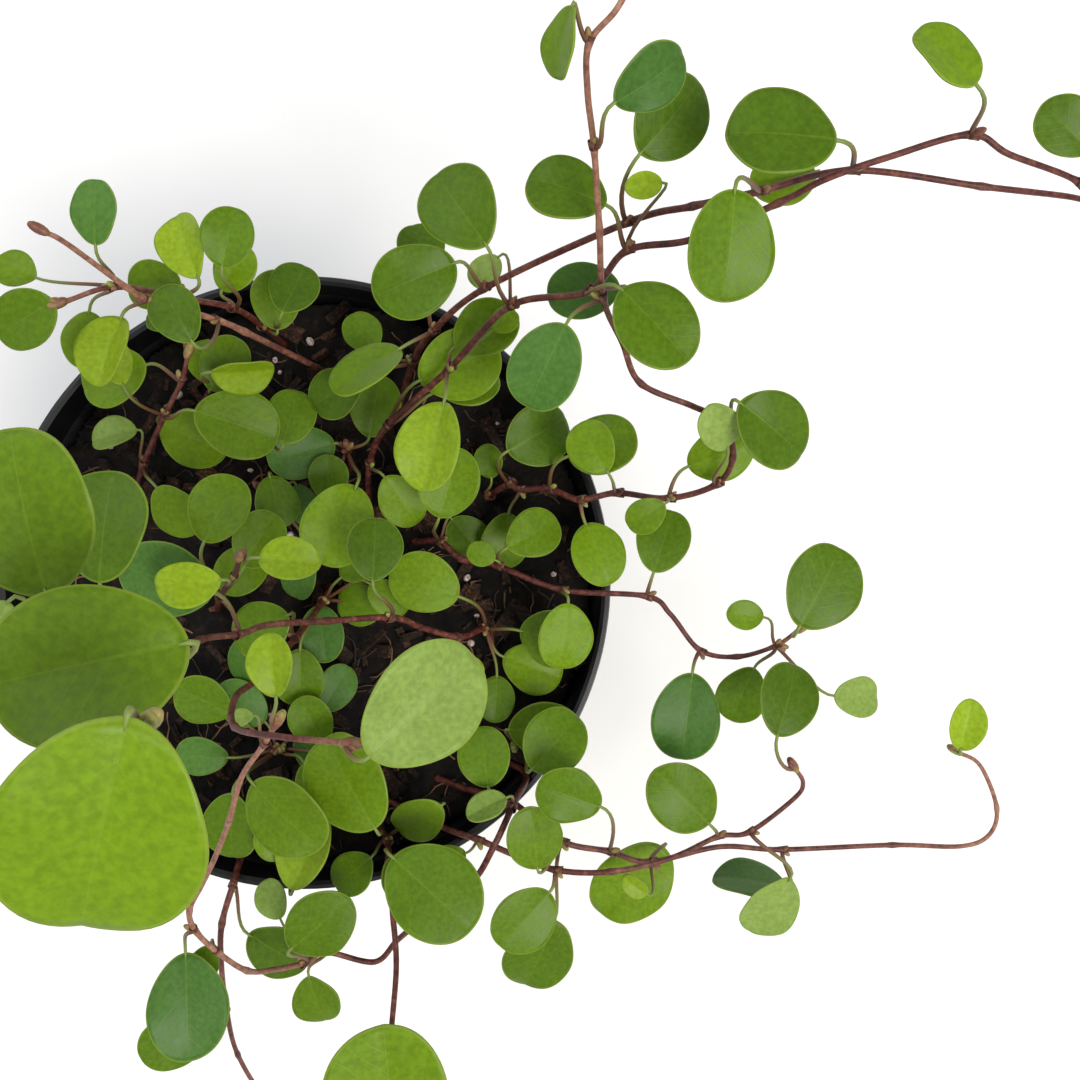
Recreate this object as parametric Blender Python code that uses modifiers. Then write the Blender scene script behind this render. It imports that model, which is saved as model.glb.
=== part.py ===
# Potted angel vine: a black plastic nursery pot of potting mix with a wiry creeping vine growing out of it.
# The origin is the centre of the pot's underside, +Z is up, and the long runners trail towards +X.
# The vine's tables are in whole millimetres, with heights counted from the top of the pot's rim.

import math
from collections import namedtuple

import bmesh
import bpy
from mathutils import Vector
from mathutils.bvhtree import BVHTree

MM = 0.001

POT_HEIGHT = 90 * MM
RIM_RADIUS = 52.5 * MM
RIM_BAND = 10 * MM
BASE_RADIUS = 37 * MM
WALL = 1.0 * MM
POT_STEPS = 48
HOLE_COUNT = 8
HOLE_RADIUS = 3.5 * MM
HOLE_RING = 27 * MM

HEADSPACE = 10 * MM
GAP = 0.3 * MM

ROOT_RADIUS = 0.68 * MM
SHOOT_TIP_RADIUS = 0.42 * MM
STALK_RADIUS = 0.38 * MM
BLADE_THICKNESS = 0.45 * MM
CLEARANCE = 0.35 * MM
SWAY = 14
LIFT_STEP = 0.5 * MM
MOST_LIFT_STEPS = 36
OWN_NODE_BLADE = 11

# A leaf grows from stem joint number `joint`. Its blade starts at (x, y, h), points along heading, and
# pitches up or rolls to its left by so many degrees. Its age sets its colour and how far it is folded.
Leaf = namedtuple("Leaf", "joint x y h heading length age pitch roll", defaults=(0, 0))

# The eight long runners. Each is its stem's joints (x, y, h), from the soil to the tip, and its leaves.
RUNNERS = {
    "upper_runner": (
        [(15, 30, -9), (19, 37, 3), (23, 41, 10), (32, 45, 24), (52, 50, 42), (60, 50, 50), (68, 51, 53),
         (79, 53, 55), (95, 51, 55), (107, 51, 51), (113, 51, 48), (119, 52, 46)],
        [Leaf(1, 12, 39, 1, 117, 8, "mature"), Leaf(2, 18, 38, 12, 214, 13, "fresh", 0, 35),
         Leaf(2, 23, 49, 16, 108, 9, "mature"), Leaf(3, 28, 48, 28, 203, 13, "mature"),
         Leaf(4, 53, 56, 52, 49, 12, "mature", 5, 25), Leaf(6, 63, 48, 64, 266, 13, "mature"),
         Leaf(6, 76, 55, 48, 196, 9, "fresh"), Leaf(7, 75, 54, 63, 176, 13, "mature", 0, 25),
         Leaf(10, 114, 48, 50, 294, 8, "mature"), Leaf(11, 120, 53, 49, 23, 7, "fresh"), Leaf(1, 11, 34, 8, 208, 10, "mature", 0, 15)],
    ),
    "node_runner": (
        [(10, 13, -9), (11, 20, -2), (15, 26, 6), (26, 34, 16), (36, 42, 26), (47, 42, 36), (52, 46, 43),
         (60, 46, 49), (70, 49, 55), (75, 51, 58), (82, 53, 60), (91, 55, 62), (96, 53, 61), (106, 51, 57),
         (112, 48, 53), (118, 45, 49)],
        [Leaf(1, 14, 18, 1, 306, 10, "fresh"), Leaf(3, 26, 28, 24, 257, 14, "young"),
         Leaf(2, 21, 33, 11, 21, 14, "fresh"), Leaf(2, 24, 32, 4, 11, 10, "fresh"),
         Leaf(4, 33, 48, 38, 125, 13, "mature"), Leaf(5, 51, 40, 44, 313, 13, "mature"),
         Leaf(5, 52, 44, 30, 185, 11, "old"), Leaf(6, 49, 51, 47, 158, 11, "mature", 0, 8),
         Leaf(6, 56, 53, 48, 191, 5, "young"), Leaf(3, 27, 38, 8, 28, 11, "fresh"),
         Leaf(3, 33, 40, 10, 40, 5, "fresh"), Leaf(4, 34, 51, 19, 225, 6, "pale"),
         Leaf(11, 88, 57, 72, 135, 9, "fresh", 0, 35), Leaf(13, 105, 53, 62, 140, 8, "mature"),
         Leaf(15, 119, 44, 50, 286, 8, "mature", -10)],
    ),
    "looping_climber": (
        [(31, 15, -9), (35, 17, -4), (37, 16, -2), (42, 16, 1), (47, 14, 5), (53, 15, 8), (61, 14, 12),
         (68, 16, 16), (70, 20, 20), (68, 25, 24), (63, 27, 27), (55, 30, 30), (52, 35, 35), (49, 40, 41),
         (48, 47, 50), (47, 55, 57), (46, 60, 62), (46, 64, 66), (49, 67, 68), (51, 71, 68), (52, 76, 66)],
        [Leaf(1, 35, 22, 6, 30, 12, "mature"), Leaf(0, 32, 18, -1, 97, 6, "mature"),
         Leaf(2, 35, 12, -3, 261, 10, "fresh"), Leaf(3, 45, 21, 8, 18, 12, "fresh"),
         Leaf(5, 51, 18, 16, 122, 9, "fresh"), Leaf(4, 48, 10, 4, 293, 11, "fresh"),
         Leaf(6, 64, 19, 13, 20, 11, "fresh", 0, 10), Leaf(6, 60, 13, 16, 212, 7, "fresh"),
         Leaf(7, 68, 21, 27, 121, 8, "pale", 25), Leaf(9, 69, 27, 32, 324, 13, "mature"),
         Leaf(13, 44, 37, 36, 244, 13, "old"), Leaf(15, 49, 58, 64, 31, 10, "old", 0, 50),
         Leaf(17, 44, 67, 69, 253, 8, "fresh", -10, 40), Leaf(20, 53, 77, 68, 49, 6, "fresh")],
    ),
    "right_runner": (
        [(18, 7, -9), (23, 7, -4), (27, 4, -1), (33, 3, 1), (44, -1, 4), (58, -2, 6), (62, -5, 6), (67, -11, 5),
         (73, -12, 6), (79, -10, 8), (82, -7, 12)],
        [Leaf(1, 24, 11, 9, 72, 12, "fresh"), Leaf(1, 25, 11, 3, 309, 9, "mature"),
         Leaf(3, 35, 6, 6, 28, 10, "fresh"), Leaf(3, 33, 4, 6, 157, 5, "fresh"),
         Leaf(4, 45, -3, 9, 263, 11, "fresh"), Leaf(5, 59, 2, 8, 72, 11, "mature"),
         Leaf(7, 66, -15, 3, 263, 15, "old"), Leaf(9, 76, -5, 13, 173, 6, "fresh"),
         Leaf(10, 80, -6, 21, 62, 14, "mature"), Leaf(9, 76, -14, 5, 247, 10, "mature"),
         Leaf(9, 90, -19, 2, 357, 9, "pale", -35)],
    ),
    "front_runner": (
        [(22, -35, -9), (27, -36, -5), (36, -37, 3), (44, -43, 4), (52, -45, 3), (59, -47, 2), (71, -45, 0),
         (82, -46, -2), (102, -46, -5), (115, -47, -8), (120, -45, -8), (121, -40, -7), (117, -32, -4),
         (112, -29, -1)],
        [Leaf(3, 43, -58, -2, 249, 15, "mature"), Leaf(4, 50, -35, 14, 158, 11, "mature"),
         Leaf(3, 40, -46, 9, 96, 11, "fresh"), Leaf(5, 62, -46, -4, 230, 17, "fresh"),
         Leaf(5, 58, -51, 7, 142, 5, "young", 20), Leaf(7, 83, -53, -2, 169, 13, "old", 0, 75),
         Leaf(13, 111, -28, 3, 81, 9, "young")],
    ),
    "rising_runner": (
        [(13, -39, -9), (24, -42, -1), (30, -43, 3), (36, -45, 5), (43, -47, 7), (52, -47, 8), (62, -45, 7),
         (70, -42, 5), (75, -41, 6), (82, -35, 8), (83, -32, 10), (81, -29, 13)],
        [Leaf(2, 28, -45, 4, 197, 6, "fresh"), Leaf(4, 42, -50, 9, 226, 12, "mature"),
         Leaf(7, 68, -39, 9, 134, 13, "mature"), Leaf(8, 82, -49, 5, 236, 12, "pale"),
         Leaf(11, 77, -23, 19, 71, 12, "mature")],
    ),
    "sweeping_runner": (
        [(34, -32, -9), (38, -33, -1), (36, -36, 8), (33, -42, 11), (29, -49, 8), (20, -57, 3), (16, -61, 0),
         (12, -65, -1), (4, -63, 0), (1, -64, 2), (-3, -63, 8), (-6, -61, 14), (-9, -56, 20), (-11, -51, 25),
         (-11, -47, 28), (-8, -42, 32), (-5, -37, 36), (-2, -31, 40), (1, -24, 45), (5, -19, 50), (7, -16, 52)],
        [Leaf(2, 35, -34, 12, 203, 7, "pale", 0, 40), Leaf(2, 32, -33, 9, 98, 10, "mature"),
         Leaf(5, 17, -52, 7, 92, 8, "mature", 0, 40), Leaf(8, 0, -69, -5, 284, 10, "fresh"),
         Leaf(9, 0, -59, 10, 41, 13, "mature"), Leaf(13, -14, -56, 20, 276, 16, "old"),
         Leaf(12, -12, -57, 14, 250, 6, "fresh"), Leaf(9, -3, -56, 4, 114, 7, "pale"),
         Leaf(20, 8, -12, 56, 96, 8, "young"), Leaf(19, 4, -15, 54, 191, 3, "pale")],
    ),
    "trailing_runner": (
        [(-12, -46, -9), (-11, -50, 3), (-13, -57, 3), (-14, -64, 0), (-15, -75, -7), (-15, -87, -15),
         (-12, -101, -26), (-9, -112, -40), (-7, -120, -53)],
        [Leaf(1, -10, -61, -3, 326, 12, "mature"), Leaf(4, -19, -79, -8, 203, 12, "mature"),
         Leaf(6, -8, -103, -24, 313, 9, "mature"), Leaf(7, -12, -114, -39, 203, 8, "fresh"),
         Leaf(8, -7, -122, -53, 290, 8, "fresh")],
    ),
}

# The short, crowded shoots of the crown, with the tall one that rises over the middle of the pot.
CROWN = {
    "tall_shoot": (
        [(32, -12, -9), (31, -8, -3), (27, -9, 3), (21, -7, 8), (17, -5, 14), (8, -5, 22), (1, -5, 30),
         (-2, -6, 34), (-5, -6, 43), (-6, -7, 60), (-7, -8, 76), (-4, -10, 90), (3, -10, 102), (10, -8, 112),
         (14, -5, 121)],
        [Leaf(1, 27, -2, 7, 159, 12, "fresh"), Leaf(4, 15, 1, 22, 88, 10, "mature"),
         Leaf(1, 37, -8, 2, 348, 12, "fresh"), Leaf(1, 34, -13, -4, 340, 11, "fresh"),
         Leaf(2, 29, -17, 0, 85, 5, "young", 30), Leaf(1, 33, -16, -4, 268, 8, "mature"),
         Leaf(7, -5, 0, 37, 165, 14, "old"), Leaf(11, -5, 2, 92, 98, 16, "fresh"),
         Leaf(9, -14, 2, 55, 85, 14, "mature"), Leaf(12, 12, -1, 105, 191, 16, "fresh"),
         Leaf(14, 14, -4, 125, 253, 17, "fresh"), Leaf(10, -14, 1, 80, 245, 7, "pale")],
    ),
    "curled_shoot": (
        [(-17, -5, -9), (-12, -2, 8), (-4, 2, 30), (0, 5, 42)],
        [Leaf(3, 4, 5, 48, 355, 8, "young"), Leaf(2, -2, 2, 44, 186, 9, "young", -10, 10),
         Leaf(1, -10, 7, 24, 65, 11, "fresh"), Leaf(1, -7, 3, 12, 62, 10, "fresh"),
         Leaf(1, -10, -9, 0, 272, 9, "old")],
    ),
    "front_shoot": (
        [(11, -43, -9), (14, -44, -2), (15, -46, 3), (16, -54, 6), (17, -62, 9), (17, -71, 16), (18, -77, 26),
         (20, -71, 45), (23, -62, 62), (25, -57, 75)],
        [Leaf(2, 17, -43, 14, 320, 17, "mature"), Leaf(1, 14, -39, 12, 120, 17, "fresh"),
         Leaf(1, 12, -46, 2, 222, 9, "mature"), Leaf(1, 24, -37, 4, 215, 10, "fresh"),
         Leaf(9, 26, -56, 80, 95, 15, "fresh")],
    ),
    "back_left_shoot": (
        [(-5, 42, -9), (-6, 43, 3), (-8, 44, 14), (-14, 44, 22), (-21, 44, 30), (-27, 41, 34)],
        [Leaf(4, -21, 48, 38, 85, 9, "old"), Leaf(3, -14, 46, 25, 179, 9, "fresh"),
         Leaf(3, -10, 46, 27, 113, 11, "young"), Leaf(2, -6, 47, 29, 75, 9, "mature"),
         Leaf(5, -28, 41, 35, 210, 10, "mature"), Leaf(4, -34, 46, 27, 156, 7, "fresh"),
         Leaf(4, -28, 42, 22, 262, 9, "fresh"), Leaf(1, 0, 43, 16, 68, 9, "mature"),
         Leaf(1, -3, 42, 8, 90, 10, "fresh"), Leaf(2, -9, 46, 18, 58, 8, "fresh")],
    ),
    "pink_tipped_shoot": (
        [(3, 37, -9), (2, 37, -1), (-6, 40, 16), (-9, 41, 20), (-16, 42, 31), (-18, 43, 34), (-23, 47, 43),
         (-25, 48, 45)],
        [Leaf(4, -21, 40, 28, 255, 11, "young", 0, 15), Leaf(3, -10, 36, 28, 117, 9, "mature")],
    ),
    "left_shoot": (
        [(-33, 11, -9), (-28, 20, -2), (-22, 28, 5), (-18, 33, 9), (-16, 37, 12)],
        [Leaf(3, -24, 36, 8, 198, 12, "fresh"), Leaf(2, -15, 28, 12, 342, 14, "fresh"),
         Leaf(2, -24, 27, 1, 335, 12, "fresh"), Leaf(4, -17, 42, 14, 181, 5, "mature"),
         Leaf(2, -26, 32, 13, 112, 8, "young"), Leaf(1, -28, 26, 1, 192, 8, "pale", 0, 20),
         Leaf(1, -23, 16, 6, 310, 10, "fresh")],
    ),
    "inner_left_shoot": (
        [(-22, 28, -9), (-19, 29, -3), (-14, 34, 4)],
        [Leaf(2, -12, 34, 13, 2, 10, "young", 0, 60), Leaf(2, -14, 32, 8, 62, 10, "fresh"),
         Leaf(1, -16, 34, 0, 100, 8, "fresh")],
    ),
    "middle_shoot": (
        [(-8, 25, -9), (-8, 27, -2)],
        [Leaf(1, -2, 23, 9, 78, 10, "mature")],
    ),
    "low_middle_shoot": (
        [(-7, 12, -9), (-6, 15, -3), (-7, 16, 0)],
        [Leaf(1, -5, 18, 3, 285, 9, "mature"), Leaf(1, -2, 17, -4, 290, 8, "old"),
         Leaf(1, -5, 5, 4, 215, 10, "fresh"), Leaf(1, 0, 5, -4, 250, 9, "old")],
    ),
    "heart_shoot": (
        [(7, 20, -9), (7, 23, -3)],
        [Leaf(1, 5, 24, 1, 196, 12, "old"), Leaf(1, 11, 16, 12, 247, 14, "fresh"),
         Leaf(1, 11, 25, -2, 80, 11, "mature"), Leaf(1, 4, 14, -1, 87, 8, "mature")],
    ),
    "centre_shoot": (
        [(3, -1, -9), (3, -3, -3), (2, -8, 15), (1, -12, 35), (1, -13, 48), (4, -15, 60), (11, -15, 67),
         (19, -15, 71)],
        [Leaf(1, 2, -4, 0, 280, 10, "old"), Leaf(1, 12, 0, 4, 321, 8, "fresh"),
         Leaf(1, 14, -4, 1, 177, 9, "mature"), Leaf(1, 0, -11, 1, 270, 10, "mature"),
         Leaf(1, 7, 1, 3, 39, 7, "mature"), Leaf(7, 22, -16, 74, 45, 16, "pale"),
         Leaf(2, -1, -5, 6, 205, 11, "mature")],
    ),
    "lower_left_shoot": (
        [(-8, -30, -9), (-5, -29, -3)],
        [Leaf(1, -5, -31, 15, 317, 15, "fresh"), Leaf(1, 1, -30, 4, 302, 9, "fresh"),
         Leaf(1, -2, -27, -4, 315, 8, "old"), Leaf(1, -7, -24, -2, 139, 10, "old"),
         Leaf(1, 4, -27, 3, 114, 9, "mature"), Leaf(1, -11, -35, 4, 266, 12, "mature"),
         Leaf(1, -12, -22, 0, 150, 10, "mature"), Leaf(1, -13, -30, -1, 175, 9, "old"),
         Leaf(1, 3, -22, -1, 60, 9, "old")],
    ),
    "rim_shoot": (
        [(-2, -46, -9), (-1, -47, -3)],
        [Leaf(1, 0, -50, 8, 72, 13, "young"), Leaf(1, -4, -47, -3, 129, 8, "old"),
         Leaf(1, -1, -45, 6, 141, 7, "fresh")],
    ),
    "lower_right_shoot": (
        [(36, -27, -9), (36, -28, -3)],
        [Leaf(1, 35, -25, -1, 2, 12, "fresh"), Leaf(1, 39, -30, 9, 47, 12, "mature")],
    ),
}

LEAF_COLOURS = {
    "young": (0.35, 0.50, 0.03),
    "fresh": (0.17, 0.36, 0.02),
    "mature": (0.10, 0.26, 0.015),
    "old": (0.06, 0.17, 0.04),
    "pale": (0.33, 0.44, 0.16),
}
BLADE_FOLDS = {"young": 0.45, "fresh": 0.12, "mature": 0.10, "old": 0.08, "pale": 0.30}
BLADE_WIDTHS = {"young": 0.68, "fresh": 0.80, "mature": 0.82, "old": 0.74, "pale": 0.76}
# How far along the blade each ring stands, and its share of the blade's half width there.
BLADE_STATIONS = [(0.12, 0.56), (0.38, 0.96), (0.66, 0.96), (0.90, 0.56), (1.0, 0.12)]
STALK_STATIONS = [0.0, 0.3, 0.62, 0.9]
BLADE_ARCH = 0.10
# The cap and the four sides of the stalk's first stretch, which come first among a leaf's faces.
FACES_AT_JOINT = 5


def clear_scene():
    for thing in list(bpy.data.objects):
        bpy.data.objects.remove(thing)


def new_collection(name, hidden=False):
    collection = bpy.data.collections.new(name)
    collection.hide_render = hidden
    bpy.context.scene.collection.children.link(collection)
    return collection


def plain_material(name, colour, roughness):
    material = bpy.data.materials.new(name)
    material.use_nodes = True
    shader = material.node_tree.nodes["Principled BSDF"]
    shader.inputs["Base Color"].default_value = (*colour, 1)
    shader.inputs["Roughness"].default_value = roughness
    shader.inputs["Metallic"].default_value = 0
    return material


def add_object(name, data, collection, material=None):
    thing = bpy.data.objects.new(name, data)
    collection.objects.link(thing)
    if material:
        data.materials.append(material)
    return thing


def turned(name, profile, collection, material):
    """A solid turned about Z from its (radius, height) profile, which runs top to bottom down the outside."""
    mesh = bpy.data.meshes.new(name)
    edges = [(at, at + 1) for at in range(len(profile) - 1)]
    if profile[0][0] > 0:
        edges.append((len(profile) - 1, 0))
    mesh.from_pydata([(radius, 0, height) for radius, height in profile], edges, [])
    thing = add_object(name, mesh, collection, material)
    screw = thing.modifiers.new("turn", "SCREW")
    screw.steps = screw.render_steps = POT_STEPS
    screw.use_merge_vertices = True
    screw.merge_threshold = 0.01 * MM
    return thing


def inner_radius(height):
    """The pot's inside radius between its floor and its rim band."""
    share = height / (POT_HEIGHT - RIM_BAND)
    return BASE_RADIUS - WALL + share * (RIM_RADIUS - RIM_BAND * 0.17 - BASE_RADIUS)


def make_pot(parts, cutters):
    shoulder = POT_HEIGHT - RIM_BAND
    black = plain_material("black_polypropylene", (0.012, 0.012, 0.013), 0.42)
    profile = [
        (RIM_RADIUS - 0.3 * WALL, POT_HEIGHT),
        (RIM_RADIUS, POT_HEIGHT - 0.6 * WALL),
        (RIM_RADIUS - 0.4 * WALL, shoulder),
        (inner_radius(shoulder) + WALL, shoulder - WALL),
        (BASE_RADIUS, 2 * WALL),
        (BASE_RADIUS - 2 * WALL, 0),
        (0, 0),
        (0, WALL),
        (inner_radius(0), WALL),
        (inner_radius(2 * WALL), 2 * WALL),
        (inner_radius(shoulder), shoulder),
        (RIM_RADIUS - 1.4 * WALL, shoulder + WALL),
        (RIM_RADIUS - 1.2 * WALL, POT_HEIGHT),
    ]
    pot = turned("nursery_pot", profile, parts, black)
    for hole in range(HOLE_COUNT):
        angle = math.tau * hole / HOLE_COUNT
        mesh = bpy.data.meshes.new("drain_cutter")
        shape = bmesh.new()
        bmesh.ops.create_cone(
            shape, cap_ends=True, segments=16, radius1=HOLE_RADIUS, radius2=HOLE_RADIUS, depth=6 * WALL
        )
        shape.to_mesh(mesh)
        shape.free()
        cutter = add_object(f"drain_cutter_{hole + 1}", mesh, cutters)
        cutter.location = (HOLE_RING * math.cos(angle), HOLE_RING * math.sin(angle), 0)
        hide(cutter)
        cut = pot.modifiers.new("drain_hole", "BOOLEAN")
        cut.operation = "DIFFERENCE"
        cut.object = cutter
    return pot


def make_potting_mix(parts):
    brown = plain_material("peat_and_bark", (0.016, 0.010, 0.007), 0.9)
    top = POT_HEIGHT - HEADSPACE
    floor = WALL + GAP
    profile = [
        (0, top),
        (inner_radius(top) - 3 * WALL, top),
        (inner_radius(top - WALL) - GAP, top - WALL),
        (inner_radius(3 * WALL) - GAP, 3 * WALL),
        (inner_radius(3 * WALL) - 2 * WALL, floor),
        (0, floor),
    ]
    return turned("potting_mix", profile, parts, brown)


def hide(thing):
    thing.hide_render = True
    thing.display_type = "WIRE"


def at_rim(x, y, h):
    """A point of the vine's tables in metres, from the origin under the pot."""
    return Vector((x * MM, y * MM, POT_HEIGHT + h * MM))


def smooth_route(joints):
    """The joints with one point between each two, on the Catmull-Rom curve through them all."""
    ends = [2 * joints[0] - joints[1], *joints, 2 * joints[-1] - joints[-2]]
    route = []
    for before, start, end, after in zip(ends, ends[1:], ends[2:], ends[3:]):
        route.append(start)
        route.append((9 * (start + end) - before - after) / 16)
    route.append(joints[-1])
    return route


def stem_radius(share):
    return ROOT_RADIUS + share * (SHOOT_TIP_RADIUS - ROOT_RADIUS)


def make_stem(name, joints, parts, material):
    """A tapering six-sided tube along the shoot's route, as a closed mesh."""
    route = smooth_route(joints)
    curve = bpy.data.curves.new(name, "CURVE")
    curve.dimensions = "3D"
    curve.bevel_depth = 1
    curve.bevel_resolution = 1
    curve.use_fill_caps = True
    spline = curve.splines.new("POLY")
    spline.points.add(len(route) - 1)
    for at, (point, place) in enumerate(zip(spline.points, route)):
        point.co = (*place, 1)
        point.radius = stem_radius(at / (len(route) - 1))
    tube = add_object(name + "_curve", curve, parts)
    graph = bpy.context.evaluated_depsgraph_get()
    mesh = bpy.data.meshes.new_from_object(tube.evaluated_get(graph))
    bpy.data.objects.remove(tube)
    shape = bmesh.new()
    shape.from_mesh(mesh)
    bmesh.ops.remove_doubles(shape, verts=shape.verts, dist=0.01 * MM)
    bmesh.ops.recalc_face_normals(shape, faces=shape.faces)
    shape.to_mesh(mesh)
    shape.free()
    return add_object(name, mesh, parts, material)


def blade_axes(leaf):
    """Unit vectors along the blade, to its left and up from its face."""
    # No two leaves lie quite alike: each sways a little up or down and to one side, by where it grows.
    pitch = math.radians(leaf.pitch + SWAY * math.sin(1.9 * leaf.x + 2.3 * leaf.y))
    roll = math.radians(leaf.roll + SWAY * math.sin(2.7 * leaf.x - 1.1 * leaf.y))
    heading = math.radians(leaf.heading)
    along = Vector((math.cos(heading) * math.cos(pitch), math.sin(heading) * math.cos(pitch), math.sin(pitch)))
    level = Vector((-math.sin(heading), math.cos(heading), 0))
    up = along.cross(level)
    return along, level * math.cos(roll) + up * math.sin(roll), up * math.cos(roll) - level * math.sin(roll)


def leaf_shape(leaf, joint, stem_way, lift, start_gap, swell=0.0):
    """(points, faces, blade_faces) of a closed loft of four-point rings, up the stalk and along the blade.

    The stalk leaves its joint sideways from stem_way, the stem's direction there, and starts start_gap from
    the stem's middle. swell fattens the leaf all round.
    """
    along, left, up = blade_axes(leaf)
    foot = at_rim(leaf.x, leaf.y, leaf.h) + Vector((0, 0, lift))
    span = (foot - joint).length
    sideways = foot - joint - (foot - joint).project(stem_way)
    bend = [joint + sideways.normalized() * start_gap]
    bend.append(bend[0] + sideways.normalized() * 0.25 * span + (foot - joint) * 0.15)
    bend += [foot - along * min(0.35 * span, 3 * MM), foot]
    rings = []
    frame_left, frame_along = left, along
    for share in reversed(STALK_STATIONS):
        rest = 1 - share
        centre = bend[0] * rest**3 + bend[1] * 3 * rest**2 * share + bend[2] * 3 * rest * share**2 + bend[3] * share**3
        slope = (
            (bend[1] - bend[0]) * rest**2 + (bend[2] - bend[1]) * 2 * rest * share + (bend[3] - bend[2]) * share**2
        ).normalized()
        frame_left = frame_along.rotation_difference(slope) @ frame_left
        frame_along = slope
        side = frame_left * (STALK_RADIUS + swell)
        rise = slope.cross(frame_left) * (STALK_RADIUS + swell)
        rings.insert(0, [centre + side, centre + rise, centre - side, centre - rise])
    length = leaf.length * MM
    half = BLADE_WIDTHS[leaf.age] * length / 2
    for share, width in BLADE_STATIONS:
        centre = foot + along * (share * length + swell * share) + up * BLADE_ARCH * length * share * (1 - 1.4 * share)
        side = left * (width * half + swell)
        edge = up * BLADE_FOLDS[leaf.age] * width * half
        thick = up * (BLADE_THICKNESS / 2 + swell)
        rings.append([centre + side + edge, centre + thick, centre - side + edge, centre - thick])
    points = [point for ring in rings for point in ring]
    faces = [(3, 2, 1, 0)]
    for at in range(len(rings) - 1):
        for corner in range(4):
            after = (corner + 1) % 4
            faces.append((4 * at + corner, 4 * at + after, 4 * at + 4 + after, 4 * at + 4 + corner))
    last = 4 * (len(rings) - 1)
    faces.append((last, last + 1, last + 2, last + 3))
    blade_faces = faces[1 + 4 * (len(STALK_STATIONS) - 1) :]
    return points, faces, blade_faces


def settled_lift(leaf, joint, stem_way, start_gap, own_stem, joined, apart):
    """The smallest move up or down that keeps a leaf clear of its stem and of all that has grown before it.

    joined holds what this leaf is one piece with, which it may touch near its joint, and apart all the rest.
    """
    for step in range(MOST_LIFT_STEPS):
        lift = (step + 1) // 2 * LIFT_STEP * (1 if step % 2 else -1)
        points, faces, blade_faces = leaf_shape(leaf, joint, stem_way, lift, start_gap, CLEARANCE)
        if any(point.xy.length < RIM_RADIUS and point.z < POT_HEIGHT - HEADSPACE for point in points[4:]):
            continue
        if BVHTree.FromPolygons(points, blade_faces).overlap(own_stem):
            continue
        if start_gap > 0:
            bare_points = leaf_shape(leaf, joint, stem_way, lift, start_gap)[0]
            if BVHTree.FromPolygons(bare_points, faces).overlap(own_stem):
                continue
        whole = BVHTree.FromPolygons(points, faces)
        beyond_joint = BVHTree.FromPolygons(points, faces[FACES_AT_JOINT:])
        if any(whole.overlap(other) for other in apart) or any(beyond_joint.overlap(other) for other in joined):
            continue
        return lift
    print(f"no clear place for {leaf}")
    return 0.0


def tree_of(thing, graph):
    return BVHTree.FromObject(thing, graph)


def make_leaf(name, points, faces, collection, material):
    mesh = bpy.data.meshes.new(name)
    mesh.from_pydata(points, [], faces)
    return add_object(name, mesh, collection, material)


def join_to(stem, piece):
    hide(piece)
    join = stem.modifiers.new(piece.name, "BOOLEAN")
    join.operation = "UNION"
    join.object = piece


def make_vine(parts, cutters, pot):
    wood = plain_material("reddish_stem", (0.10, 0.035, 0.02), 0.6)
    greens = {age: plain_material(f"{age}_leaf", colour, 0.5) for age, colour in LEAF_COLOURS.items()}
    shoots = {**RUNNERS, **CROWN}
    joints = {name: [at_rim(*place) for place in places] for name, (places, _) in shoots.items()}
    stems = {name: make_stem(name + "_stem", joints[name], parts, wood) for name in shoots}
    graph = bpy.context.evaluated_depsgraph_get()
    stem_trees = {name: tree_of(stem, graph) for name, stem in stems.items()}
    pot_tree = tree_of(pot, graph)
    grown_apart = [pot_tree]
    for name, (_, leaves) in shoots.items():
        others = [tree for other, tree in stem_trees.items() if other != name]
        last = len(joints[name]) - 1
        joined = []
        joined_whole = []
        for number, leaf in enumerate(leaves, 1):
            joint = joints[name][leaf.joint]
            separate = name in RUNNERS and leaf.length >= OWN_NODE_BLADE
            share = leaf.joint / last
            start_gap = stem_radius(share) + STALK_RADIUS + GAP if separate else 0.0
            way = joints[name][min(leaf.joint + 1, last)] - joints[name][max(leaf.joint - 1, 0)]
            apart = [*others, *grown_apart, *(joined_whole if separate else [])]
            lift = settled_lift(leaf, joint, way, start_gap, stem_trees[name], [] if separate else joined, apart)
            points, faces, _ = leaf_shape(leaf, joint, way, lift, start_gap)
            whole = BVHTree.FromPolygons(points, faces)
            if separate:
                grown_apart.append(whole)
            else:
                joined.append(BVHTree.FromPolygons(points, faces[FACES_AT_JOINT:]))
                joined_whole.append(whole)
            home = parts if separate else cutters
            piece = make_leaf(f"{name}_leaf_{number:02d}", points, faces, home, greens[leaf.age])
            if not separate:
                join_to(stems[name], piece)
        grown_apart += joined_whole


def main():
    clear_scene()
    parts = new_collection("potted_angel_vine")
    cutters = new_collection("cutters_and_joined_leaves", hidden=True)
    pot = make_pot(parts, cutters)
    make_potting_mix(parts)
    make_vine(parts, cutters, pot)


main()
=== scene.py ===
# Potted angel vine: a wiry creeping vine growing out of a black plastic nursery pot.
import math
import random
from collections import namedtuple

import bmesh
import bpy
from mathutils import Matrix, Vector
from mathutils.bvhtree import BVHTree
from mathutils.kdtree import KDTree


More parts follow.
